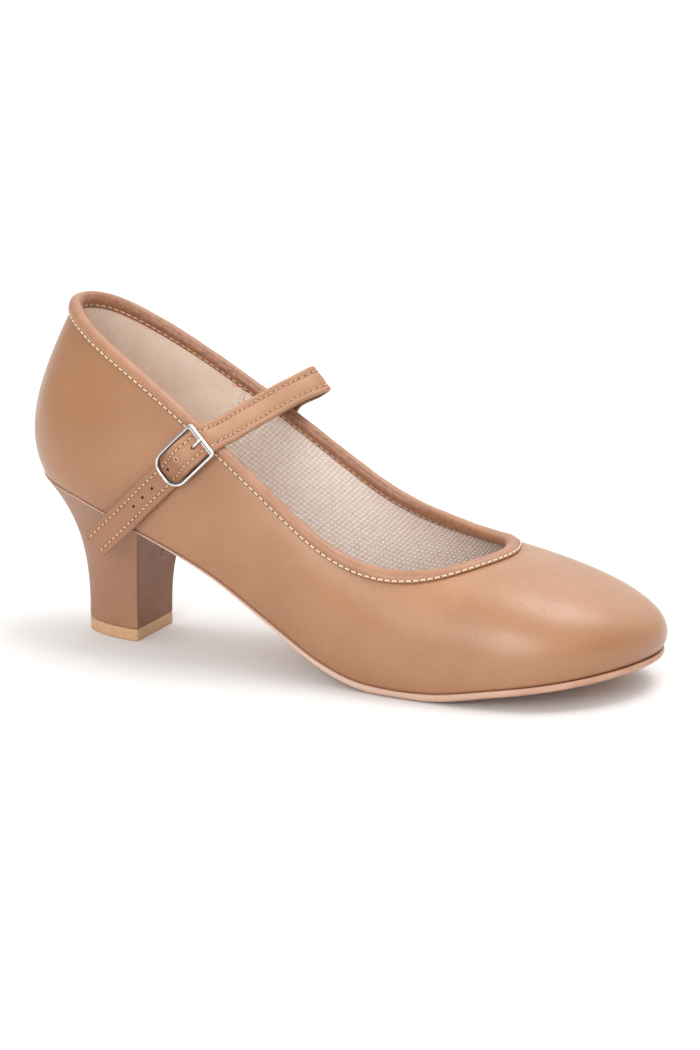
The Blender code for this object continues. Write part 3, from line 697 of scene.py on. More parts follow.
# lining sheet inside the wall; t falls, so that its front looks into the shoe
def makeLining(name, start, stop, material, depth):
    h = np.linspace(0.0, lining["top"], lining["up"] + 1)
    part = np.linspace(0.0, 1.0, lining["around"] + 1)[:, None]
    point, _, _, normal = wallFrame(start(h) + (stop(h) - start(h)) * part, h[None, :])
    front = point + normal * (lining["front"] - depth)
    back = point + normal * lining["front"]
    mesh = newMesh(name, [front, back], sheetFaces(len(part), len(h), False))
    finishPiece(newPiece(name, mesh, material))


makeUpper()
makeLining("quarterLining", lambda h: seamRow("lateral", h), lambda h: seamRow("medial", h) - rowCount,
           liningLeather, lining["leatherDepth"])
makeLining("vampLining", lambda h: seamRow("medial", h), lambda h: seamRow("lateral", h),
           canvasGround, lining["canvasDepth"])
print("upper and lining made")


# Geometry node trees for what repeats

def startTree(name, inputs):
    tree = bpy.data.node_groups.new(name, "GeometryNodeTree")
    tree.interface.new_socket("Geometry", in_out="INPUT", socket_type="NodeSocketGeometry")
    for label, kind in inputs.items():
        tree.interface.new_socket(label, in_out="INPUT", socket_type="NodeSocket" + kind)
    tree.interface.new_socket("Geometry", in_out="OUTPUT", socket_type="NodeSocketGeometry")
    return tree, tree.nodes.new("NodeGroupInput").outputs, tree.nodes.new("NodeGroupOutput").inputs


def join(tree, output, target):
    tree.links.new(output, target)


def mathNode(tree, operation, first, second):
    node = tree.nodes.new("ShaderNodeMath")
    node.operation = operation
    feed(tree, node.inputs[0], first)
    feed(tree, node.inputs[1], second)
    return node.outputs[0]


def vectorNode(tree, *parts):
    node = tree.nodes.new("ShaderNodeCombineXYZ")
    for socket, part in zip(node.inputs, parts):
        feed(tree, socket, part)
    return node.outputs[0]


def namedVector(tree, name):
    node = tree.nodes.new("GeometryNodeInputNamedAttribute")
    node.data_type = "FLOAT_VECTOR"
    node.inputs["Name"].default_value = name
    return node.outputs["Attribute"]


# low-cut ball, stretched along its three axes
def beadShape(tree, radius, *stretch):
    bead = tree.nodes.new("GeometryNodeMeshUVSphere")
    bead.inputs["Segments"].default_value = 6
    bead.inputs["Rings"].default_value = 4
    feed(tree, bead.inputs["Radius"], radius)
    size = tree.nodes.new("GeometryNodeTransform")
    join(tree, bead.outputs["Mesh"], size.inputs["Geometry"])
    join(tree, vectorNode(tree, *stretch), size.inputs["Scale"])
    return size.outputs["Geometry"]


# copies of a shape at the points of a geometry, turned so that x runs along and z looks out
def placeShapes(tree, points, along, shape, sway, seed, material, target):
    axes = tree.nodes.new("FunctionNodeAxesToRotation")
    axes.primary_axis = "Z"
    axes.secondary_axis = "X"
    join(tree, namedVector(tree, "out"), axes.inputs["Primary Axis"])
    join(tree, along, axes.inputs["Secondary Axis"])
    chance = tree.nodes.new("FunctionNodeRandomValue")
    chance.data_type = "FLOAT"
    chance.inputs["Seed"].default_value = seed
    sides = [socket for socket in chance.inputs if socket.type == "VALUE" and socket.enabled]
    join(tree, mathNode(tree, "MULTIPLY", sway, -1.0), sides[0])
    join(tree, sway, sides[1])
    value = [socket for socket in chance.outputs if socket.type == "VALUE" and socket.enabled][0]
    turn = tree.nodes.new("FunctionNodeAxisAngleToRotation")
    turn.inputs["Axis"].default_value = (0.0, 0.0, 1.0)
    join(tree, value, turn.inputs["Angle"])
    rotate = tree.nodes.new("FunctionNodeRotateRotation")
    rotate.rotation_space = "LOCAL"
    join(tree, axes.outputs["Rotation"], rotate.inputs["Rotation"])
    join(tree, turn.outputs["Rotation"], rotate.inputs["Rotate By"])
    place = tree.nodes.new("GeometryNodeInstanceOnPoints")
    join(tree, points, place.inputs["Points"])
    join(tree, shape, place.inputs["Instance"])
    join(tree, rotate.outputs["Rotation"], place.inputs["Rotation"])
    real = tree.nodes.new("GeometryNodeRealizeInstances")
    join(tree, place.outputs["Instances"], real.inputs["Geometry"])
    smooth = tree.nodes.new("GeometryNodeSetShadeSmooth")
    join(tree, real.outputs["Geometry"], smooth.inputs["Geometry"])
    paint = tree.nodes.new("GeometryNodeSetMaterial")
    join(tree, smooth.outputs["Geometry"], paint.inputs["Geometry"])
    join(tree, material, paint.inputs["Material"])
    join(tree, paint.outputs["Geometry"], target)


# path cut into even steps, with the direction along it
def steppedPath(tree, geometry, pitch):
    line = tree.nodes.new("GeometryNodeMeshToCurve")
    join(tree, geometry, line.inputs["Mesh"])
    steps = tree.nodes.new("GeometryNodeResampleCurve")
    steps.mode = "LENGTH"
    join(tree, line.outputs["Curve"], steps.inputs["Curve"])
    join(tree, pitch, steps.inputs["Length"])
    return steps.outputs["Curve"], tree.nodes.new("GeometryNodeInputTangent").outputs["Tangent"]


# one stitch: a short thread that dives into the leather at both ends
def stitchTree():
    tree, given, result = startTree("stitchRow", {
        "Pitch": "Float", "Stitch Length": "Float", "Thread Radius": "Float", "Rise": "Float",
        "Sway": "Float", "Thread": "Material"})
    half = mathNode(tree, "MULTIPLY", given["Stitch Length"], 0.5)
    dive = mathNode(tree, "MULTIPLY", given["Thread Radius"], -1.1)
    arch = tree.nodes.new("GeometryNodeCurveQuadraticBezier")
    arch.inputs["Resolution"].default_value = 6
    join(tree, vectorNode(tree, mathNode(tree, "MULTIPLY", half, -1.0), 0.0, dive), arch.inputs["Start"])
    join(tree, vectorNode(tree, 0.0, 0.0, given["Rise"]), arch.inputs["Middle"])
    join(tree, vectorNode(tree, half, 0.0, dive), arch.inputs["End"])
    ring = tree.nodes.new("GeometryNodeCurvePrimitiveCircle")
    ring.inputs["Resolution"].default_value = 6
    join(tree, given["Thread Radius"], ring.inputs["Radius"])
    sweep = tree.nodes.new("GeometryNodeCurveToMesh")
    sweep.inputs["Fill Caps"].default_value = True
    join(tree, arch.outputs["Curve"], sweep.inputs["Curve"])
    join(tree, ring.outputs["Curve"], sweep.inputs["Profile Curve"])
    path, along = steppedPath(tree, given["Geometry"], given["Pitch"])
    placeShapes(tree, path, along, sweep.outputs["Mesh"], given["Sway"], 3, given["Thread"],
                result["Geometry"])
    return tree


# one needle hole: a flat dark bead pressed into the leather, painted shade standing in for the hole
def needleTree():
    tree, given, result = startTree("needleHoles", {
        "Pitch": "Float", "Hole Radius": "Float", "Flatness": "Float", "Sway": "Float", "Hole": "Material"})
    bead = beadShape(tree, given["Hole Radius"], 1.0, 0.85, given["Flatness"])
    path, along = steppedPath(tree, given["Geometry"], given["Pitch"])
    placeShapes(tree, path, along, bead, given["Sway"], 5, given["Hole"], result["Geometry"])
    return tree


# one crossing of the canvas weave: a low oval nub of yarn
def weaveTree():
    tree, given, result = startTree("canvasNubs", {
        "Nub Length": "Float", "Nub Width": "Float", "Nub Height": "Float", "Sway": "Float",
        "Yarn": "Material"})
    nub = beadShape(tree, 0.5, given["Nub Length"], given["Nub Width"], given["Nub Height"])
    points = tree.nodes.new("GeometryNodeMeshToPoints")
    join(tree, given["Geometry"], points.inputs["Mesh"])
    placeShapes(tree, points.outputs["Points"], namedVector(tree, "along"), nub, given["Sway"], 7,
                given["Yarn"], result["Geometry"])
    return tree


# runs a tree on a guide mesh and keeps the result as a plain piece
def growPiece(name, guide, tree, values):
    piece = newPiece(name, guide)
    modifier = piece.modifiers.new(tree.name, "NODES")
    modifier.node_group = tree
    for item in tree.interface.items_tree:
        if item.in_out == "INPUT" and item.name in values:
            modifier[item.identifier] = values[item.name]
    return finishPiece(makePlain(piece))


# guide line with the direction the surface looks; a closed one joins its ends
def guideLine(name, points, out, closed):
    count = len(points)
    mesh = bpy.data.meshes.new(name)
    edges = [(i, i + 1) for i in range(count - 1)]
    if closed:
        edges.append((count - 1, 0))
    mesh.from_pydata(toWorld(points).tolist(), edges, [])
    addVectors(mesh, "out", out)
    return mesh


stitches = stitchTree()
needleHoles = needleTree()
canvasNubs = weaveTree()


needle = {"flatness": 0.45, "sway": 0.2}


# a row of stitches, and dark beads of painted shade for the needle holes between them
def sewRow(name, points, out, closed, look, material):
    values = {"Pitch": look["pitch"] * mm, "Stitch Length": look["length"] * mm, "Sway": look["sway"],
              "Thread Radius": look["thread"] * mm, "Rise": look["rise"] * mm, "Thread": material}
    growPiece(name, guideLine(name, points, out, closed), stitches, values)
    length = distances(points)
    half = 0.5 * look["pitch"]
    if closed:
        shifted = np.linspace(0, length[-1], len(points)) + half
    else:
        shifted = np.linspace(half, length[-1] - half, len(points))
    outThere = interpRows(shifted, length, out)
    sunk = interpRows(shifted, length, points) - outThere * look["holeDepth"]
    values = {"Pitch": look["pitch"] * mm, "Hole Radius": look["hole"] * mm, "Flatness": needle["flatness"],
              "Sway": needle["sway"], "Hole": needleHoleShade}
    growPiece(name + "Holes", guideLine(name + "Holes", sunk, outThere, closed), needleHoles, values)


# Canvas weave on the front lining: rows of nubs beside the topline, yarns aslant to them

weave = {
    "pitch": 1.65, "first": 2.6, "rows": 30, "lowest": 0.12, "margin": 0.06, "sway": 0.08, "lift": 0.38,
    # wall row behind the seam where the count starts, and the one where rows stand square
    "medial": (17.4, 15.3), "lateral": (2.6, 4.7),
    "spokes": 700, "spokePoints": 80, "leanPoint": 8,       # fineness of the measuring net
    "weft": {"Nub Length": 1.58, "Nub Width": 1.16, "Nub Height": 0.62, "slant": 49.0, "shift": 0.0,
             "yarn": canvasYarn},
    "warp": {"Nub Length": 1.10, "Nub Width": 0.80, "Nub Height": 0.26, "slant": -41.0, "shift": 0.5,
             "yarn": canvasGround},
}


# places of the nubs on one side, from the lining's seam to the toe
def weaveSide(side, turn, shift):
    start, aligned = weave[side]
    toe = 0.5 * rowCount
    fine = np.linspace(start, toe, weave["spokes"])
    h = np.linspace(1.0, 0.0, weave["spokePoints"])
    spokes = wallPoint(fine[:, None], h[None, :])
    topline = spokes[:, 0]
    fallen = np.cumsum(np.linalg.norm(np.diff(spokes, axis=1, prepend=spokes[:, :1]), axis=-1), axis=1)
    run = distances(topline)
    lean = np.sum(unit(np.gradient(topline, axis=0)) * unit(topline - spokes[:, weave["leanPoint"]]), -1)
    points, along, out = [], [], []
    for row in range(weave["rows"]):
        fall = (weave["first"] + weave["pitch"] * (row + shift)) / np.sqrt(1 - lean**2)
        rowH = np.array([np.interp(f, lengths, h) for f, lengths in zip(fall, fallen)])
        line = wallPoint(fine, rowH)
        length = distances(line)
        square = np.interp(np.interp(aligned, fine, run), run - fall * lean, length)
        places = np.arange((square + shift * weave["pitch"]) % weave["pitch"], length[-1], weave["pitch"])
        t, nubH = np.interp(places, length, fine), np.interp(places, length, rowH)
        fromSeam = np.abs(t - toe) < np.abs(seamRow(side, nubH) - toe) - weave["margin"]
        keep = (nubH > weave["lowest"]) & fromSeam
        point, _, _, normal = wallFrame(t[keep], nubH[keep])
        inward = -normal
        ahead = interpRows(places[keep], length, np.gradient(line, length, axis=0))
        ahead = unit(ahead - inward * np.sum(ahead * inward, -1, keepdims=True))
        points.append(point + inward * (-lining["front"] + weave["lift"]))
        along.append(math.cos(turn) * ahead + math.sin(turn) * np.cross(inward, ahead))
        out.append(inward)
    return np.concatenate(points), np.concatenate(along), np.concatenate(out)


def makeWeave():
    for name in ("weft", "warp"):
        look = weave[name]
        turn = math.radians(look["slant"])
        sides = weaveSide("medial", turn, look["shift"]), weaveSide("lateral", -turn, look["shift"])
        points, along, out = (np.concatenate(pair) for pair in zip(*sides))
        mesh = bpy.data.meshes.new("canvas" + name.title())
        mesh.from_pydata(toWorld(points).tolist(), [], [])
        addVectors(mesh, "along", along)
        addVectors(mesh, "out", out)
        values = {label: look[label] * mm for label in ("Nub Length", "Nub Width", "Nub Height")}
        values.update({"Sway": weave["sway"], "Yarn": look["yarn"]})
        growPiece(mesh.name, mesh, canvasNubs, values)
        print("canvas nubs", name, len(points))


makeWeave()

liningStitch = {"pitch": 1.75, "length": 1.35, "thread": 0.30, "rise": 0.45, "sway": 0.30,
                "hole": 0.22, "holeDepth": 0.12}


# seam that joins the leather lining to the canvas
def sewLining():
    h = np.linspace(*lining["sewnHeights"], lining["sewnPoints"])
    for side, back in (("medial", lining["sewnBehind"]), ("lateral", -lining["sewnBehind"])):
        point, _, _, normal = wallFrame(seamRow(side, h) + back, h)
        line = point + normal * (lining["front"] - lining["sewnLift"])
        sewRow("liningSeam" + side.title(), line, -normal, False, liningStitch, paleThread)


sewLining()


# Topline binding: a padded fold of leather over the topline, sewn down near its lower edges

binding = {
    "around": 960, "section": 34, "sheet": 0.5, "pucker": 0.10, "pitch": 2.45,
    # up the wall from the topline, out from its face
    "profile": (
        (-4.0, 0.70), (-3.75, 0.84), (-3.4, 0.70), (-2.9, 1.02), (-2.0, 1.42), (-0.8, 1.50), (0.4, 1.05),
        (1.25, 0.05), (1.5, -0.8), (1.3, -1.65), (0.6, -2.6), (-0.4, -3.08), (-1.5, -3.15), (-2.4, -2.92),
        (-2.95, -2.42), (-3.45, -2.58), (-4.0, -2.52), (-4.4, -2.34),
    ),
    "outerSeam": (-3.4, 0.80), "innerSeam": (-2.95, -2.52),
    "drawnAt": -3.1, "drawnWidth": 0.7,     # band of leather drawn in at each needle hole
    "rollAt": 0.2, "rollWidth": 1.6, "rollWaves": ((0.07, 7.3, 0.0), (0.06, 3.1, 1.0), (0.04, 1.7, 0.0)),
    # overlapped ends: wall row, slant, height, softness and fading of the step; offset and depth of creases
    "joint": 16.45, "jointSlant": 1.1, "jointStep": 0.16, "jointSoft": 0.35, "jointFade": 9.0,
    "creases": ((-1.5, 0.22), (1.8, 0.26), (4.6, 0.20), (7.0, 0.14)), "creaseWidth": 0.75,
    "edgeShadow": 0.8, "seamPoints": 700,
}
bindingStitch = {"pitch": binding["pitch"], "length": 2.05, "thread": 0.27, "rise": 0.55, "sway": 0.08,
                 "hole": 0.42, "holeDepth": 0.02}
innerStitch = dict(bindingStitch, length=1.9, hole=0.26, sway=0.22)


def makeBinding():
    t = evenRows(0, rowCount, 1.0, binding["around"])[:-1]
    up, out = evenLine(binding["profile"], binding["section"]).T
    base, _, _, normal = toplineFrame(t[:, None], up[None, :], out[None, :])
    length = distances(wallPoint(np.append(t, rowCount), 1.0))[:-1]
    drawn = bump(up - binding["drawnAt"], binding["drawnWidth"])[None, :]
    pull = -binding["pucker"] * drawn * (0.5 - 0.5 * np.cos(2 * np.pi * length / binding["pitch"]))[:, None]
    # hand-worked unevenness of the padded roll
    roll = bump(up - binding["rollAt"], binding["rollWidth"])[None, :]
    roll = roll * waver(length, binding["rollWaves"])[:, None]
    # overlapped ends: a step with slanting creases beside it, on top and inside
    jointAt = np.interp(binding["joint"], t, length)
    fromJoint = length[:, None] - jointAt - binding["jointSlant"] * (up[None, :] + 1.0)
    step = binding["jointStep"] / (1 + np.exp(np.minimum(-fromJoint / binding["jointSoft"], 80.0)))
    step = step * bump(np.maximum(fromJoint, 0.0), binding["jointFade"])
    for offset, depth in binding["creases"]:
        step = step - depth * bump(fromJoint - offset, binding["creaseWidth"])
    step = step * np.clip(0.4 - out, 0.0, 2.0)[None, :] * 0.5
    outside = np.where(out > -0.8, 1.0, -1.0)[None, :]
    points = base + normal * ((pull + roll + step) * outside)[..., None]
    mesh = newMesh("toplineBinding", points, gridFaces(len(t), len(up), True))
    # painted shadow line along the lower outer edge, and painted shade on the inner face
    edgeShadow = binding["edgeShadow"] * bump(np.arange(len(up)), 0.8)
    markPaintedShade(mesh, np.broadcast_to(np.maximum(np.clip(-0.6 - out, 0.0, 1.0), edgeShadow), points.shape[:2]))
    piece = newPiece("toplineBinding", mesh, bindingLeather)
    shell = piece.modifiers.new("leather", "SOLIDIFY")
    shell.thickness = binding["sheet"] * mm
    shell.offset = -1.0
    finishPiece(makePlain(piece), ["topline_binding"])
    seamRows = evenRows(0, rowCount, 1.0, binding["seamPoints"])[:-1]
    for name, seam, side, look, colour in (
            ("bindingSeamOuter", "outerSeam", 1.0, bindingStitch, creamThread),
            ("bindingSeamInner", "innerSeam", -1.0, innerStitch, peachThread)):
        point, _, _, normal = toplineFrame(seamRows, *binding[seam])
        sewRow(name, point, normal * side, True, look, colour)


makeBinding()
print("topline binding made")


# Instep strap and buckle, with the buckle's own axes on the lateral wall

buckle = {
    "seat": (74.8, -28.6, 74.2), "along": (0.705, 0.115, 0.700), "out": (0.040, -0.990, 0.124),
    "barLift": 2.3, "headLift": 4.25, "endLift": 3.15, "barRadius": 0.5,
    "halfWidth": 6.35, "head": 9.7, "end": -10.3, "endRadius": 5.0, "headRadius": 1.0,
    "wireAcross": 0.60, "wireUp": 0.76, "wireSquare": 0.7, "headWire": 1.55, "headStart": 8.6, "barBend": 0.2,
    "darkReflectionFrom": 0.1, "darkReflectionOver": 0.6, "darkLine": 0.22,   # painted dark reflection on the inner side of the wire, and a painted dark line along the head
    # pin: hook round the bar, then its shank over the head, along and out from the seat
    "prongRadius": 0.58, "prongTip": 0.55, "tipSteps": 6, "hook": 1.3, "hookTurn": (165, 370),
    "shank": ((2.6, 0, 2.5), (4.3, 0, 3.2), (5.6, 0, 4.5), (7.6, 0, 5.7), (9.7, 0, 5.8), (10.6, 0, 5.5)),
}
# strap from its tail to the straight bar, along and out in the buckle's axes
strapLaid = np.array((
    (-49.5, -2.1), (-40.0, -1.6), (-30.0, -0.7), (-20.0, 0.6), (-11.0, 0.92), (-5.6, 2.2), (0.0, 5.2),
    (4.8, 4.0), (9.6, 2.2),
))
# then over the topline, across the instep and down the medial wall: place and the way its face looks
strapArch = np.array((
    (83.1, -28.9, 81.8, 0.30, -0.87, 0.40),     # shoulder
    (84.3, -26.3, 82.6, 0.45, -0.62, 0.64),
    (84.7, -21.5, 82.7, 0.52, -0.30, 0.76),
    (85.8, -8.0, 84.0, 0.57, -0.15, 0.79),
    (88.2, 10.0, 86.3, 0.58, -0.05, 0.80),
    (91.0, 26.0, 88.3, 0.60, 0.04, 0.79),
    (93.3, 36.2, 89.2, 0.70, 0.38, 0.60),       # turn
    (90.2, 38.1, 86.9, 0.42, 1.00, 0.00),
    (83.2, 33.8, 81.9, 0.15, 1.00, -0.50),
    (79.0, 31.1, 73.0, 0.05, 1.00, -0.05),
    (73.6, 30.8, 64.0, 0.05, 1.00, 0.05),       # sewn end
))
strap = {
    "halfWidth": 5.35, "spacing": 0.42, "corner": 1.1, "seam": 3.05, "seamLift": 0.74, "scallop": 0.22,
    # punched holes, along and across in the buckle's axes
    "holes": ((-27.3, 0.0), (-22.2, 0.0), (-17.2, 0.0), (-11.4, 0.3), (-7.8, 0.8), (-1.6, 0.7)),
    "holeRadius": 0.55, "prongRoom": 0.8, "cutReach": 8.0, "shoulderRows": 3,
    "rimRadius": 0.74, "rimWire": 0.23, "rimHeight": 5.6,       # raised rim of the last hole
    "sewnFrom": 1.6, "panelEdge": 2.75, "panelSoft": 0.5, "waves": ((0.05, 4.1, 0.0), (0.04, 1.9, 0.6)),
    # half of the section: across from the middle, out from the middle of the strap
    "section": (
        (0.0, 1.02), (1.2, 1.0), (2.1, 0.92), (2.65, 0.76), (3.05, 0.60), (3.35, 0.70), (3.75, 0.92),
        (4.3, 1.02), (4.8, 0.93), (5.15, 0.66), (5.33, 0.3), (5.35, 0.0), (5.28, -0.45), (5.0, -0.82),
        (4.5, -0.97), (2.5, -1.0), (0.0, -1.0),
    ),
}
tailStitch = {"pitch": 2.05, "length": 1.25, "thread": 0.20, "rise": 0.34, "sway": 0.20,
              "hole": 0.33, "holeDepth": 0.03}
archStitch = dict(tailStitch, pitch=2.9, length=2.35, thread=0.28, rise=0.38, sway=0.22, hole=0.38)


def buckleAxes():
    out = unit(np.array(buckle["out"]))
    along = np.array(buckle["along"])
    along = unit(along - out * np.dot(along, out))
    return along, np.cross(out, along), out


def fromBuckle(points):
    along, across, out = buckleAxes()
    points = np.asarray(points, float)
    flat = np.array(buckle["seat"]) + points[..., :1] * along + points[..., 1:2] * across
    return flat + points[..., 2:] * out


# middle line of the strap with its directions, at even spacing
def strapFrame():
    laid = fromBuckle(np.stack([strapLaid[:, 0], np.zeros(len(strapLaid)), strapLaid[:, 1]], -1))
    rows = np.concatenate([laid, strapArch[:, :3]])
    looks = np.concatenate([np.broadcast_to(buckleAxes()[2], laid.shape), unit(strapArch[:, 3:])])
    stations = distances(rows)
    place = np.linspace(0, stations[-1], int(stations[-1] / strap["spacing"]))
    middle = smoothAlong(stations, rows, place)
    travel = unit(np.gradient(middle, place, axis=0))
    widths = unit(np.cross(interpRows(stations, place, travel), looks))
    # bends square to its own width where it leaves the buckle
    start, rowsAfter = len(laid), strap["shoulderRows"]
    part = np.linspace(0, 1, rowsAfter + 2)[1:-1, None]
    widths[:start] = -buckleAxes()[1]
    widths[start:start + rowsAfter] = unit(widths[start - 1] * (1 - part) + widths[start + rowsAfter] * part)
    across = smoothAlong(stations, widths, place)
    across = unit(across - travel * np.sum(across * travel, -1, keepdims=True))
    return place, middle, across, np.cross(across, travel)


def prongRoute():
    low, high = np.radians(buckle["hookTurn"])
    turn = np.linspace(low, high, 15)
    rise = buckle["barLift"] + buckle["hook"] * np.sin(turn)
    hook = np.stack([buckle["hook"] * np.cos(turn), 0 * turn, rise], -1)
    return np.concatenate([hook[:-1], evenLine([hook[-1], *buckle["shank"]], 26)])


# tube of a closed section along a route, with directions across and up of the route
def tube(route, across, up, section, closed):
    rings = route[:, None] + across[:, None] * section[None, :, :1] + up[:, None] * section[None, :, 1:]
    rows, around = rings.shape[:2]
    return rings, gridFaces(rows, around, True, True).tolist() if closed else cappedFaces(rows, around)


def routeFrame(route, side):
    travel = unit(np.gradient(route, axis=0))
    up = unit(np.cross(travel, side))
    return np.cross(up, travel), up


def roundSection(across, up, count, power=1.0):
    turn = np.linspace(0, 2 * np.pi, count, endpoint=False)
    c, s = np.cos(turn), np.sin(turn)
    return np.stack([across * np.sign(c) * np.abs(c)**power, up * np.sign(s) * np.abs(s)**power], -1)


# cylinders for the punched holes and a tube for the pin's hole, as one cutter
def makeCutter():
    parts = []
    circle = roundSection(strap["holeRadius"], strap["holeRadius"], 16)
    for along, across in strap["holes"]:
        ring = np.stack([along + circle[:, 0], across + circle[:, 1], 0 * circle[:, 0]], -1)
        rings = np.stack([ring + (0, 0, -strap["cutReach"]), ring + (0, 0, strap["cutReach"])])
        parts.append((fromBuckle(rings), cappedFaces(2, len(circle))))
    route = prongRoute()
    across, up = routeFrame(route, np.array((0.0, 1.0, 0.0)))
    rings, faces = tube(route, across, up, roundSection(strap["prongRoom"], strap["prongRoom"], 12), False)
    parts.append((fromBuckle(rings), faces))
    mesh = newMesh("strapCutter", *mergeParts(parts))
    fixNormals(mesh)
    return newPiece("strapCutter", mesh)


def makeStrap():
    place, middle, across, face = strapFrame()
    half = np.array(strap["section"])
    section = np.concatenate([half, (half[1:-1] * (-1, 1))[::-1]])
    # rounded corners where the strap is cut
    ends = np.minimum(place, place[-1] - place)
    corner = strap["corner"]
    inset = corner - np.sqrt(np.maximum(corner**2 - np.maximum(corner - ends, 0.0)**2, 0.0))
    narrow = (strap["halfWidth"] - inset) / strap["halfWidth"]
    wide = section[None, :, 0] * narrow[:, None]
    # leather wavers a little between its seams
    upper = section[None, :, 1] > 0.5
    tall = section[None, :, 1] + waver(place, strap["waves"])[:, None] * upper
    # the panel's edge is drawn down at each needle hole
    archStart = distances(middle)[np.argmin(np.linalg.norm(middle - strapArch[0, :3], axis=-1))]
    onTail = place < archStart
    pitch = np.where(onTail, tailStitch["pitch"], archStitch["pitch"])
    sewn = np.where(onTail, place - strap["sewnFrom"], place - archStart) - 0.5 * pitch
    panelEdge = bump(np.abs(section[None, :, 0]) - strap["panelEdge"], strap["panelSoft"])
    drawn = (0.5 + 0.5 * np.cos(2 * np.pi * sewn / pitch))[:, None] * panelEdge
    tall = tall - strap["scallop"] * drawn * upper
    rings = middle[:, None] + across[:, None] * wide[..., None] + face[:, None] * tall[..., None]
    mesh = newMesh("instepStrap", rings, cappedFaces(*rings.shape[:2]))
    fixNormals(mesh)
    # painted shade on the strap's underside
    markPaintedShade(mesh, np.broadcast_to(section[None, :, 1] < -0.7, rings.shape[:2]))      # its underside
    piece = newPiece("instepStrap", mesh, strapLeather)
    cutter = makeCutter()
    cut = piece.modifiers.new("holes", "BOOLEAN")
    cut.object = cutter
    cut.operation = "DIFFERENCE"
    makePlain(piece)
    bpy.data.objects.remove(cutter)
    smoothShade(piece.data, 50)
    finishPiece(piece, ["strap"])
    tail = (place > strap["sewnFrom"]) & onTail
    arch = (place > archStart) & (place < place[-1] - strap["sewnFrom"])
    for name, side in (("Rear", -1.0), ("Front", 1.0)):
        line = middle + across * (side * strap["seam"]) + face * strap["seamLift"]
        sewRow("tailSeam" + name, line[tail], face[tail], False, tailStitch, peachThread)
        sewRow("archSeam" + name, line[arch], face[arch], False, archStitch, tanThread)


# leather pushed up round the hole that lies next to the pin
def makeHoleRim():
    _, middle, across, face = strapFrame()
    along, aside = strap["holes"][-1]
    surface = middle + face * strap["section"][0][1]
    i = np.argmin(np.linalg.norm(surface - fromBuckle((along, 0.0, strap["rimHeight"])), axis=-1))
    turn = np.linspace(0, 2 * np.pi, 24, endpoint=False)[:, None]
    radial = np.cos(turn) * np.cross(face[i], across[i]) + np.sin(turn) * across[i]
    route = surface[i] - across[i] * aside + radial * strap["rimRadius"]
    section = roundSection(strap["rimWire"], strap["rimWire"], 8)
    rings, faces = tube(route, radial, np.broadcast_to(face[i], route.shape), section, True)
    solidPiece("holeRim", rings, faces, rawLeather)


# how high the frame's wire lies at places along it
def frameLift(along):
    part = (along - buckle["end"]) / (buckle["head"] - buckle["end"])
    return buckle["endLift"] + (buckle["headLift"] - buckle["endLift"]) * part


def frameRoute():
    tight, wide = buckle["headRadius"], buckle["endRadius"]
    head, headSide = buckle["head"] - tight, buckle["halfWidth"] - tight
    end, endSide = buckle["end"] + wide, buckle["halfWidth"] - wide
    arcs = ((head, -headSide, tight, -90, 0, 6), (head, headSide, tight, 0, 90, 6),
            (end, endSide, wide, 90, 180, 16), (end, -endSide, wide, 180, 270, 16))
    route = []
    for along, across, radius, start, stop, steps in arcs:
        turn = np.radians(np.linspace(start, stop, steps + 1))
        route.append(np.stack([along + radius * np.cos(turn), across + radius * np.sin(turn)], -1))
    route = np.concatenate(route)
    return np.concatenate([route, frameLift(route[:, :1])], -1)


# D frame with its centre bar
def makeFrame():
    route = frameRoute()
    travel = unit(np.roll(route, -1, 0) - np.roll(route, 1, 0))
    up = np.broadcast_to(np.array((0.0, 0.0, 1.0)), route.shape)
    across = unit(np.cross(travel, up))
    section = roundSection(buckle["wireAcross"], buckle["wireUp"], 24, buckle["wireSquare"])
    head = np.clip(route[:, :1] - buckle["headStart"], 0.0, 1.0)
    rings, faces = tube(route, across * (1 + (buckle["headWire"] - 1) * head), up, section, True)
    side, low, rail = buckle["halfWidth"], buckle["barLift"], frameLift(0.0)
    bend = buckle["barBend"]
    barRoute = evenLine(((0, -side, rail), (0, bend - side, low + bend), (0, 0, low),
                         (0, side - bend, low + bend), (0, side, rail)), 40)
    barAcross, barUp = routeFrame(barRoute, np.array((1.0, 0.0, 0.0)))
    barSection = roundSection(buckle["barRadius"], buckle["barRadius"], 12)
    barRings, barFaces = tube(barRoute, barAcross, barUp, barSection, False)
    points, allFaces = mergeParts([(fromBuckle(rings), faces), (fromBuckle(barRings), barFaces)])
    piece = solidPiece("buckleFrame", points, allFaces, nickelPlate, ["buckle_frame"], "nickel")
    # painted dark reflection on the wire's inner side, and a painted dark line along the top of the head
    inward = -section[:, 0] / buckle["wireAcross"] - buckle["darkReflectionFrom"]
    inner = np.clip(inward / buckle["darkReflectionOver"], 0.0, 1.0)
    darkReflection = inner * (1 - head) + bump(inward, buckle["darkLine"]) * (section[:, 1] > 0) * head
    markPaintedShade(piece.data, np.concatenate([darkReflection.ravel(), np.zeros(barRings[..., 0].size)]))


def makePin():
    route = prongRoute()
    across, up = routeFrame(route, np.array((0.0, 1.0, 0.0)))
    steps = np.arange(len(route))
    taper = np.interp(steps, (steps[-buckle["tipSteps"]], steps[-1]), (1.0, buckle["prongTip"]))[:, None]
    section = roundSection(buckle["prongRadius"], buckle["prongRadius"], 14)
    rings, faces = tube(route, across * taper, up * taper, section, False)
    solidPiece("bucklePin", fromBuckle(rings), faces, nickelPlate, ["buckle_prong"], "nickel", 60)


tab = {"halfWidth": 4.6, "sheet": 0.7, "play": 0.25, "fold": (-75, -340), "slotHalf": 1.1, "across": 8,
       "base": ((5.4, 0.75), (3.0, 0.8), (1.2, 1.0))}     # along and out, from its free end to the fold


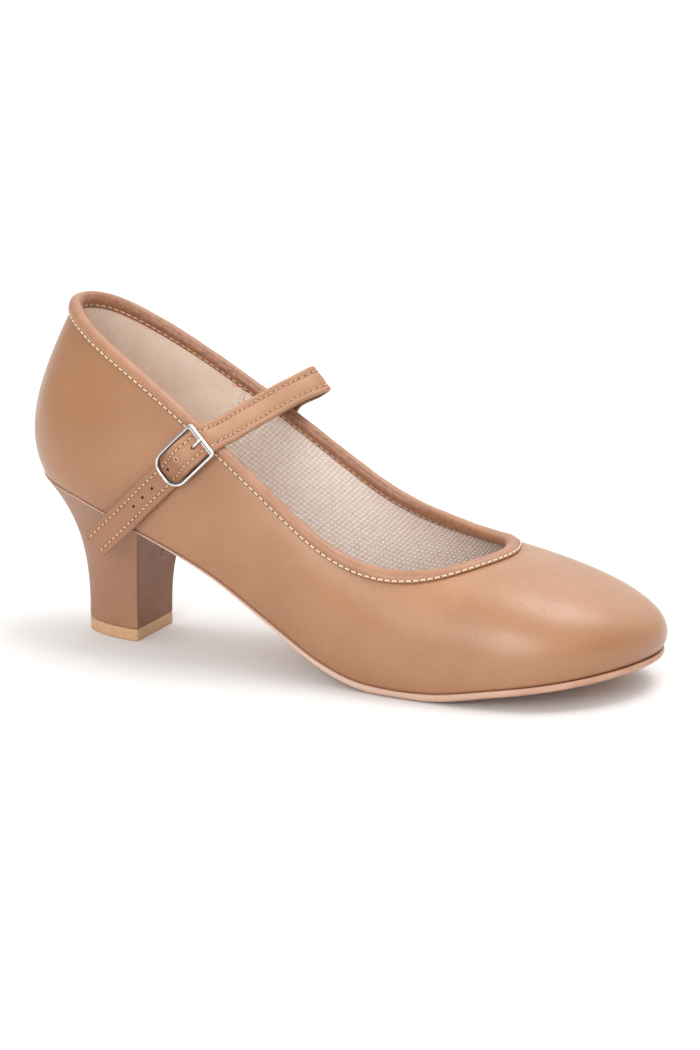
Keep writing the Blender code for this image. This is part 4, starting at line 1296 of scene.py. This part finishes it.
# leather tab that holds the buckle: flat on the wall, folded round the centre bar, slotted for the pin
def makeTab():
    radius = buckle["barRadius"] + tab["play"] + 0.5 * tab["sheet"]
    turn = np.radians(np.linspace(*tab["fold"], 28))
    fold = np.stack([radius * np.cos(turn), buckle["barLift"] + radius * np.sin(turn)], -1)
    middle = np.concatenate([evenLine((*tab["base"], tuple(fold[0])), 12)[:-1], fold])
    direction = unit(np.gradient(middle, axis=0))
    side = np.stack([-direction[:, 1], direction[:, 0]], -1) * 0.5 * tab["sheet"]
    outline = np.concatenate([middle + side, (middle - side)[::-1]])
    rows, around = tab["across"], len(outline)
    faces = gridFaces(rows, around, False, True).tolist()
    for first in (0, (rows - 1) * around):      # cut edges
        faces += [[first + i, first + i + 1, first + around - 2 - i, first + around - 1 - i]
                  for i in range(around // 2 - 1)]
    halves = []
    for edge in (-1.0, 1.0):
        low, high = sorted((edge * tab["slotHalf"], edge * tab["halfWidth"]))
        rings = np.stack([np.insert(outline, 1, y, axis=1) for y in np.linspace(low, high, rows)])
        halves.append((fromBuckle(rings), faces))
    solidPiece("buckleTab", *mergeParts(halves), strapLeather, ["buckle_tab"], "tan_leather", 50)


# frayed tongue of leather at the joint of the binding: wall rows and places up from the topline
fray = {"rows": ((16.42, -4.0), (16.47, -4.9), (16.507, -5.75), (16.552, -6.45)), "out": -2.05,
        "halfWidth": 0.62, "halfSheet": 0.15, "steps": 14}


def makeFray():
    t, up = evenLine(fray["rows"], fray["steps"]).T
    route, _, _, normal = toplineFrame(t, up, fray["out"])
    across = unit(np.cross(normal, np.gradient(route, axis=0)))
    narrow = np.sqrt(1.02 - np.linspace(0, 1, fray["steps"])**3)[:, None]
    section = roundSection(fray["halfWidth"], fray["halfSheet"], 10)
    solidPiece("bindingFray", *tube(route, across * narrow, normal, section, False), frayedLeather)


makeFray()
makeStrap()
makeHoleRim()
makeFrame()
makePin()
makeTab()
print("strap and buckle made")


# Sole, insole, heel and tip

# flat field between the two halves of a closed outline, rows from the heel to the toe
def acrossField(outline, part):
    half = len(outline) // 2
    lateral, medial = outline[1:half], outline[:half:-1]
    return lateral[:, None] + (medial - lateral)[:, None] * part[None, :, None]


def makeSole():
    count = sole["around"]
    half = count // 2
    t = np.linspace(0, rowCount, count, endpoint=False)
    step = soleStep(t)
    edge = featherLine(t, step)
    thick = soleTop(edge[:, 0]) - soleUnder(edge[:, 0])
    rings = []
    for wayOut, part in sole["rim"]:
        line = featherLine(t, step + wayOut)
        if part < 0.5:
            height = soleUnder(line[:, 0]) + part * thick
        else:
            height = soleTop(line[:, 0]) - (1 - part) * thick
        rings.append(np.concatenate([line, height[:, None]], -1))
    points = [np.concatenate(rings)]
    faces = gridFaces(len(rings), count, False, True).tolist()
    # upper face and tread: rows across from the lateral edge to the medial one
    part = np.linspace(0, 1, sole["across"] + 1)[1:-1]
    for ring, heightAt in ((0, soleTop), (len(rings) - 1, soleUnder)):
        field = acrossField(rings[ring], part)
        field[..., 2] = heightAt(field[..., 0])
        first, start = ring * count, sum(len(group) for group in points)
        points.append(field.reshape(-1, 3))
        left, right = first + np.arange(1, half), first + np.arange(count - 1, half, -1)
        inner = start + np.arange(field[..., 0].size).reshape(-1, len(part))
        index = np.concatenate([left[:, None], inner, right[:, None]], 1)
        quads = np.stack([index[:-1, :-1], index[1:, :-1], index[1:, 1:], index[:-1, 1:]], -1)
        faces += quads.reshape(-1, 4).tolist()
        faces += [[first, a, b] for a, b in zip(index[0, :-1], index[0, 1:])]                   # at the heel
        faces += [[first + half, b, a] for a, b in zip(index[-1, :-1], index[-1, 1:])]          # at the toe
    solidPiece("leatherSole", np.concatenate(points), faces, soleLeather, ["outsole"], "sole_leather", 40)


insole = {"inset": 3.0, "lift": 0.80, "thickness": 2.0, "crown": 0.5, "across": 30, "around": 240}


def makeInsole():
    t = np.linspace(0, rowCount, insole["around"], endpoint=False)
    part = np.linspace(0, 1, insole["across"] + 1)
    field = acrossField(featherLine(t, -insole["inset"]), part)
    low = soleTop(field[..., 0]) + insole["lift"]
    cup = insole["crown"] * (2 * part - 1)**4       # cupped towards the edges, where the sock meets the wall
    front = np.concatenate([field, (low + insole["thickness"] + cup)[..., None]], -1)
    back = np.concatenate([field, low[..., None]], -1)
    faces = sheetFaces(*low.shape, False)
    solidPiece("sockInsole", [front, back], faces, sockCloth, ["insole"], "insole_cloth", 50)


heel = {
    "span": 3.04, "flare": 2.7, "tuck": 2.0, "tuckPower": 3, "gap": 0.05, "around": 120, "up": 64,
    "breast": 16, "edge": 0.45, "breastFrom": 0.75, "breastOver": 0.2,      # how far the breast looks forward
    "nicks": ((48.02, 2.05, 29.85), (47.72, 1.67, 28.40)), "nick": 0.46, "nickFlat": 0.3, "nickSway": 0.2,
    "breastLooks": (0.975, 0.0, -0.21),
}


def tipLine(count):
    turn = np.linspace(-0.5 * np.pi, 0.5 * np.pi, count + 1)
    x = heelTip["breastX"] - heelTip["length"] * np.cos(turn)
    return np.stack([x, heelTip["halfWidth"] * np.sin(turn)], -1)


# adds the straight breast between the two ends of an open outline
def closeBreast(outline, count):
    part = np.linspace(0, 1, count + 1)[1:-1, None]
    return np.concatenate([outline, outline[-1:] + (outline[:1] - outline[-1:]) * part])


# closed body through rings, its ends covered, its rims and upright corners bevelled
def ringBody(name, rings, corners, edge, material):
    rows, around = len(rings), len(rings[0])
    mesh = newMesh(name, rings, cappedFaces(rows, around))
    fixNormals(mesh)
    weight = mesh.attributes.new("bevel_weight_edge", "FLOAT", "EDGE")
    flags = np.zeros(len(mesh.edges), np.float32)
    for edgeRow in mesh.edges:
        a, b = edgeRow.vertices
        upright = a % around == b % around and a % around in corners
        rimEdge = a // around == b // around and a // around in (0, rows - 1)
        flags[edgeRow.index] = 1.0 if upright or rimEdge else 0.0
    weight.data.foreach_set("value", flags)
    piece = newPiece(name, mesh, material)
    bevel = piece.modifiers.new("edges", "BEVEL")
    bevel.limit_method = "WEIGHT"
    bevel.width = edge * mm
    bevel.segments = 2
    makePlain(piece)
    smoothShade(piece.data, 50)
    return piece


def makeHeel():
    part = np.linspace(1, -1, heel["around"] + 1)
    inset = heel["gap"] + heel["tuck"] * np.abs(part[:, None])**heel["tuckPower"]
    seat = closeBreast(featherLine(heel["span"] * part, -inset), heel["breast"])
    tip = closeBreast(tipLine(heel["around"]), heel["breast"])
    seatHeight = soleUnder(seat[:, 0]) - heel["gap"]
    tipHeight = heelTip["height"] + heel["gap"]
    rings = []
    for level in np.linspace(0, 1, heel["up"] + 1):
        line = tip + (seat - tip) * level**heel["flare"]
        height = tipHeight + (seatHeight - tipHeight) * level
        rings.append(np.concatenate([line, height[:, None]], -1))
    piece = ringBody("heelBlock", rings, (0, heel["around"]), heel["edge"], heelLeather)
    # painted shade on the breast, darker the more it faces forward
    facing = np.array([corner.normal.x for corner in piece.data.vertices])
    markPaintedShade(piece.data, np.clip((facing - heel["breastFrom"]) / heel["breastOver"], 0.0, 1.0))
    finishPiece(piece, ["heel"])


def makeHeelTip():
    line = closeBreast(tipLine(heelTip["around"]), heel["breast"])
    rings = [np.insert(line, 2, z, axis=1) for z in np.linspace(0, heelTip["height"], 5)]
    piece = ringBody("heelTip", rings, (0, heelTip["around"]), heelTip["edge"], tipRubber)
    finishPiece(piece, ["heel_tip"])


# two dark nicks in the leather of the breast
def nickBreast():
    nicks = np.array(heel["nicks"])
    looks = np.broadcast_to(np.array(heel["breastLooks"]), nicks.shape)
    apart = 0.99 * float(np.linalg.norm(nicks[1] - nicks[0]))       # just short, so that both ends get one
    values = {"Pitch": apart * mm, "Hole Radius": heel["nick"] * mm, "Flatness": heel["nickFlat"],
              "Sway": heel["nickSway"], "Hole": scuffedLeather}
    growPiece("breastNicks", guideLine("breastNicks", nicks, looks, False), needleHoles, values)


makeSole()
makeInsole()
makeHeel()
makeHeelTip()
nickBreast()
print("sole, insole and heel made")


# Floor, light and camera

studio = {
    "azimuth": 26.0, "elevation": 15.5, "distance": 1600.0, "lookAt": (116.8, 11.7, 45.0),
    "focal": 4616.0, "frameHeight": 1050.0,     # in pixels of the picture
    "sensor": 36.0, "clipEnd": 50.0, "floorSize": 9000.0,
    "paper": (0.775, 0.774, 0.773), "paperDeep": (0.765, 0.764, 0.763), "paperSize": 60.0,
    "paperRoughness": 0.8, "paperGloss": 0.1,
    # sky: tint, strength at the horizon and overhead, what is added behind the shoe, between which heights
    "sky": (1.0, 0.995, 0.985), "horizon": 0.20, "zenith": 1.12, "backGlow": 0.58, "low": 0.05, "high": 0.7,
    # lamp: the way to it from the shoe, how wide it looks in degrees, its strength
    "lamps": {
        "topLamp": ((0.24, 0.16, 0.96), 30.0, 1.22),
        "frontLamp": ((0.12, -0.92, 0.37), 34.0, 1.47),
    },
}


def makeCamera():
    az, el = math.radians(studio["azimuth"]), math.radians(studio["elevation"])
    back = np.array((math.sin(az) * math.cos(el), -math.cos(az) * math.cos(el), math.sin(el)))
    camera = newObject("camera", bpy.data.cameras.new("camera"))
    camera.location = toWorld(np.array(studio["lookAt"]) + back * studio["distance"])
    camera.rotation_euler = Vector(-back).to_track_quat("-Z", "Y").to_euler()
    camera.data.sensor_width = studio["sensor"]
    camera.data.lens = studio["focal"] * studio["sensor"] / studio["frameHeight"]
    camera.data.clip_end = studio["clipEnd"]
    bpy.context.scene.camera = camera


def makeFloor():
    size = studio["floorSize"]
    corners = [(-size, -size, 0), (size, -size, 0), (size, size, 0), (-size, size, 0)]
    material, tree, shader, place = startMaterial("paperFloor", studio["paper"], studio["paperRoughness"], {
        "Specular IOR Level": studio["paperGloss"]})
    fibre = ramp(tree, noise(tree, place, studio["paperSize"]), 0.0, 1.0)
    colour = blendColours(tree, fibre, studio["paperDeep"], studio["paper"])
    tree.links.new(colour, shader.inputs["Base Color"])
    floor = newPiece("paperFloor", newMesh("paperFloor", corners, [(0, 1, 2, 3)]), material)


def makeLight():
    for name, (toLamp, wide, strength) in studio["lamps"].items():
        lamp = bpy.data.lights.new(name, "SUN")
        lamp.angle = math.radians(wide)
        lamp.energy = strength
        newObject(name, lamp).rotation_euler = (-Vector(toLamp)).to_track_quat("-Z", "Y").to_euler()
    world = bpy.context.scene.world or bpy.data.worlds.new("studio")
    bpy.context.scene.world = world
    world.use_nodes = True
    # bright overhead and behind the shoe, dimmer towards the horizon, as under a wide overhead cloth
    tree = world.node_tree
    split = tree.nodes.new("ShaderNodeSeparateXYZ")
    tree.links.new(tree.nodes.new("ShaderNodeTexCoord").outputs["Generated"], split.inputs[0])
    low, high = studio["low"], studio["high"]
    overhead = ramp(tree, split.outputs["Z"], studio["horizon"], studio["zenith"], low, high)
    behind = ramp(tree, split.outputs["Y"], 0.0, studio["backGlow"], 0.0, high)
    sky = tree.nodes["Background"]
    sky.inputs["Color"].default_value = (*studio["sky"], 1.0)
    tree.links.new(mathNode(tree, "ADD", overhead, behind), sky.inputs["Strength"])
    bpy.context.scene.view_settings.view_transform = "Standard"


makeCamera()
makeFloor()
makeLight()
print("scene made")
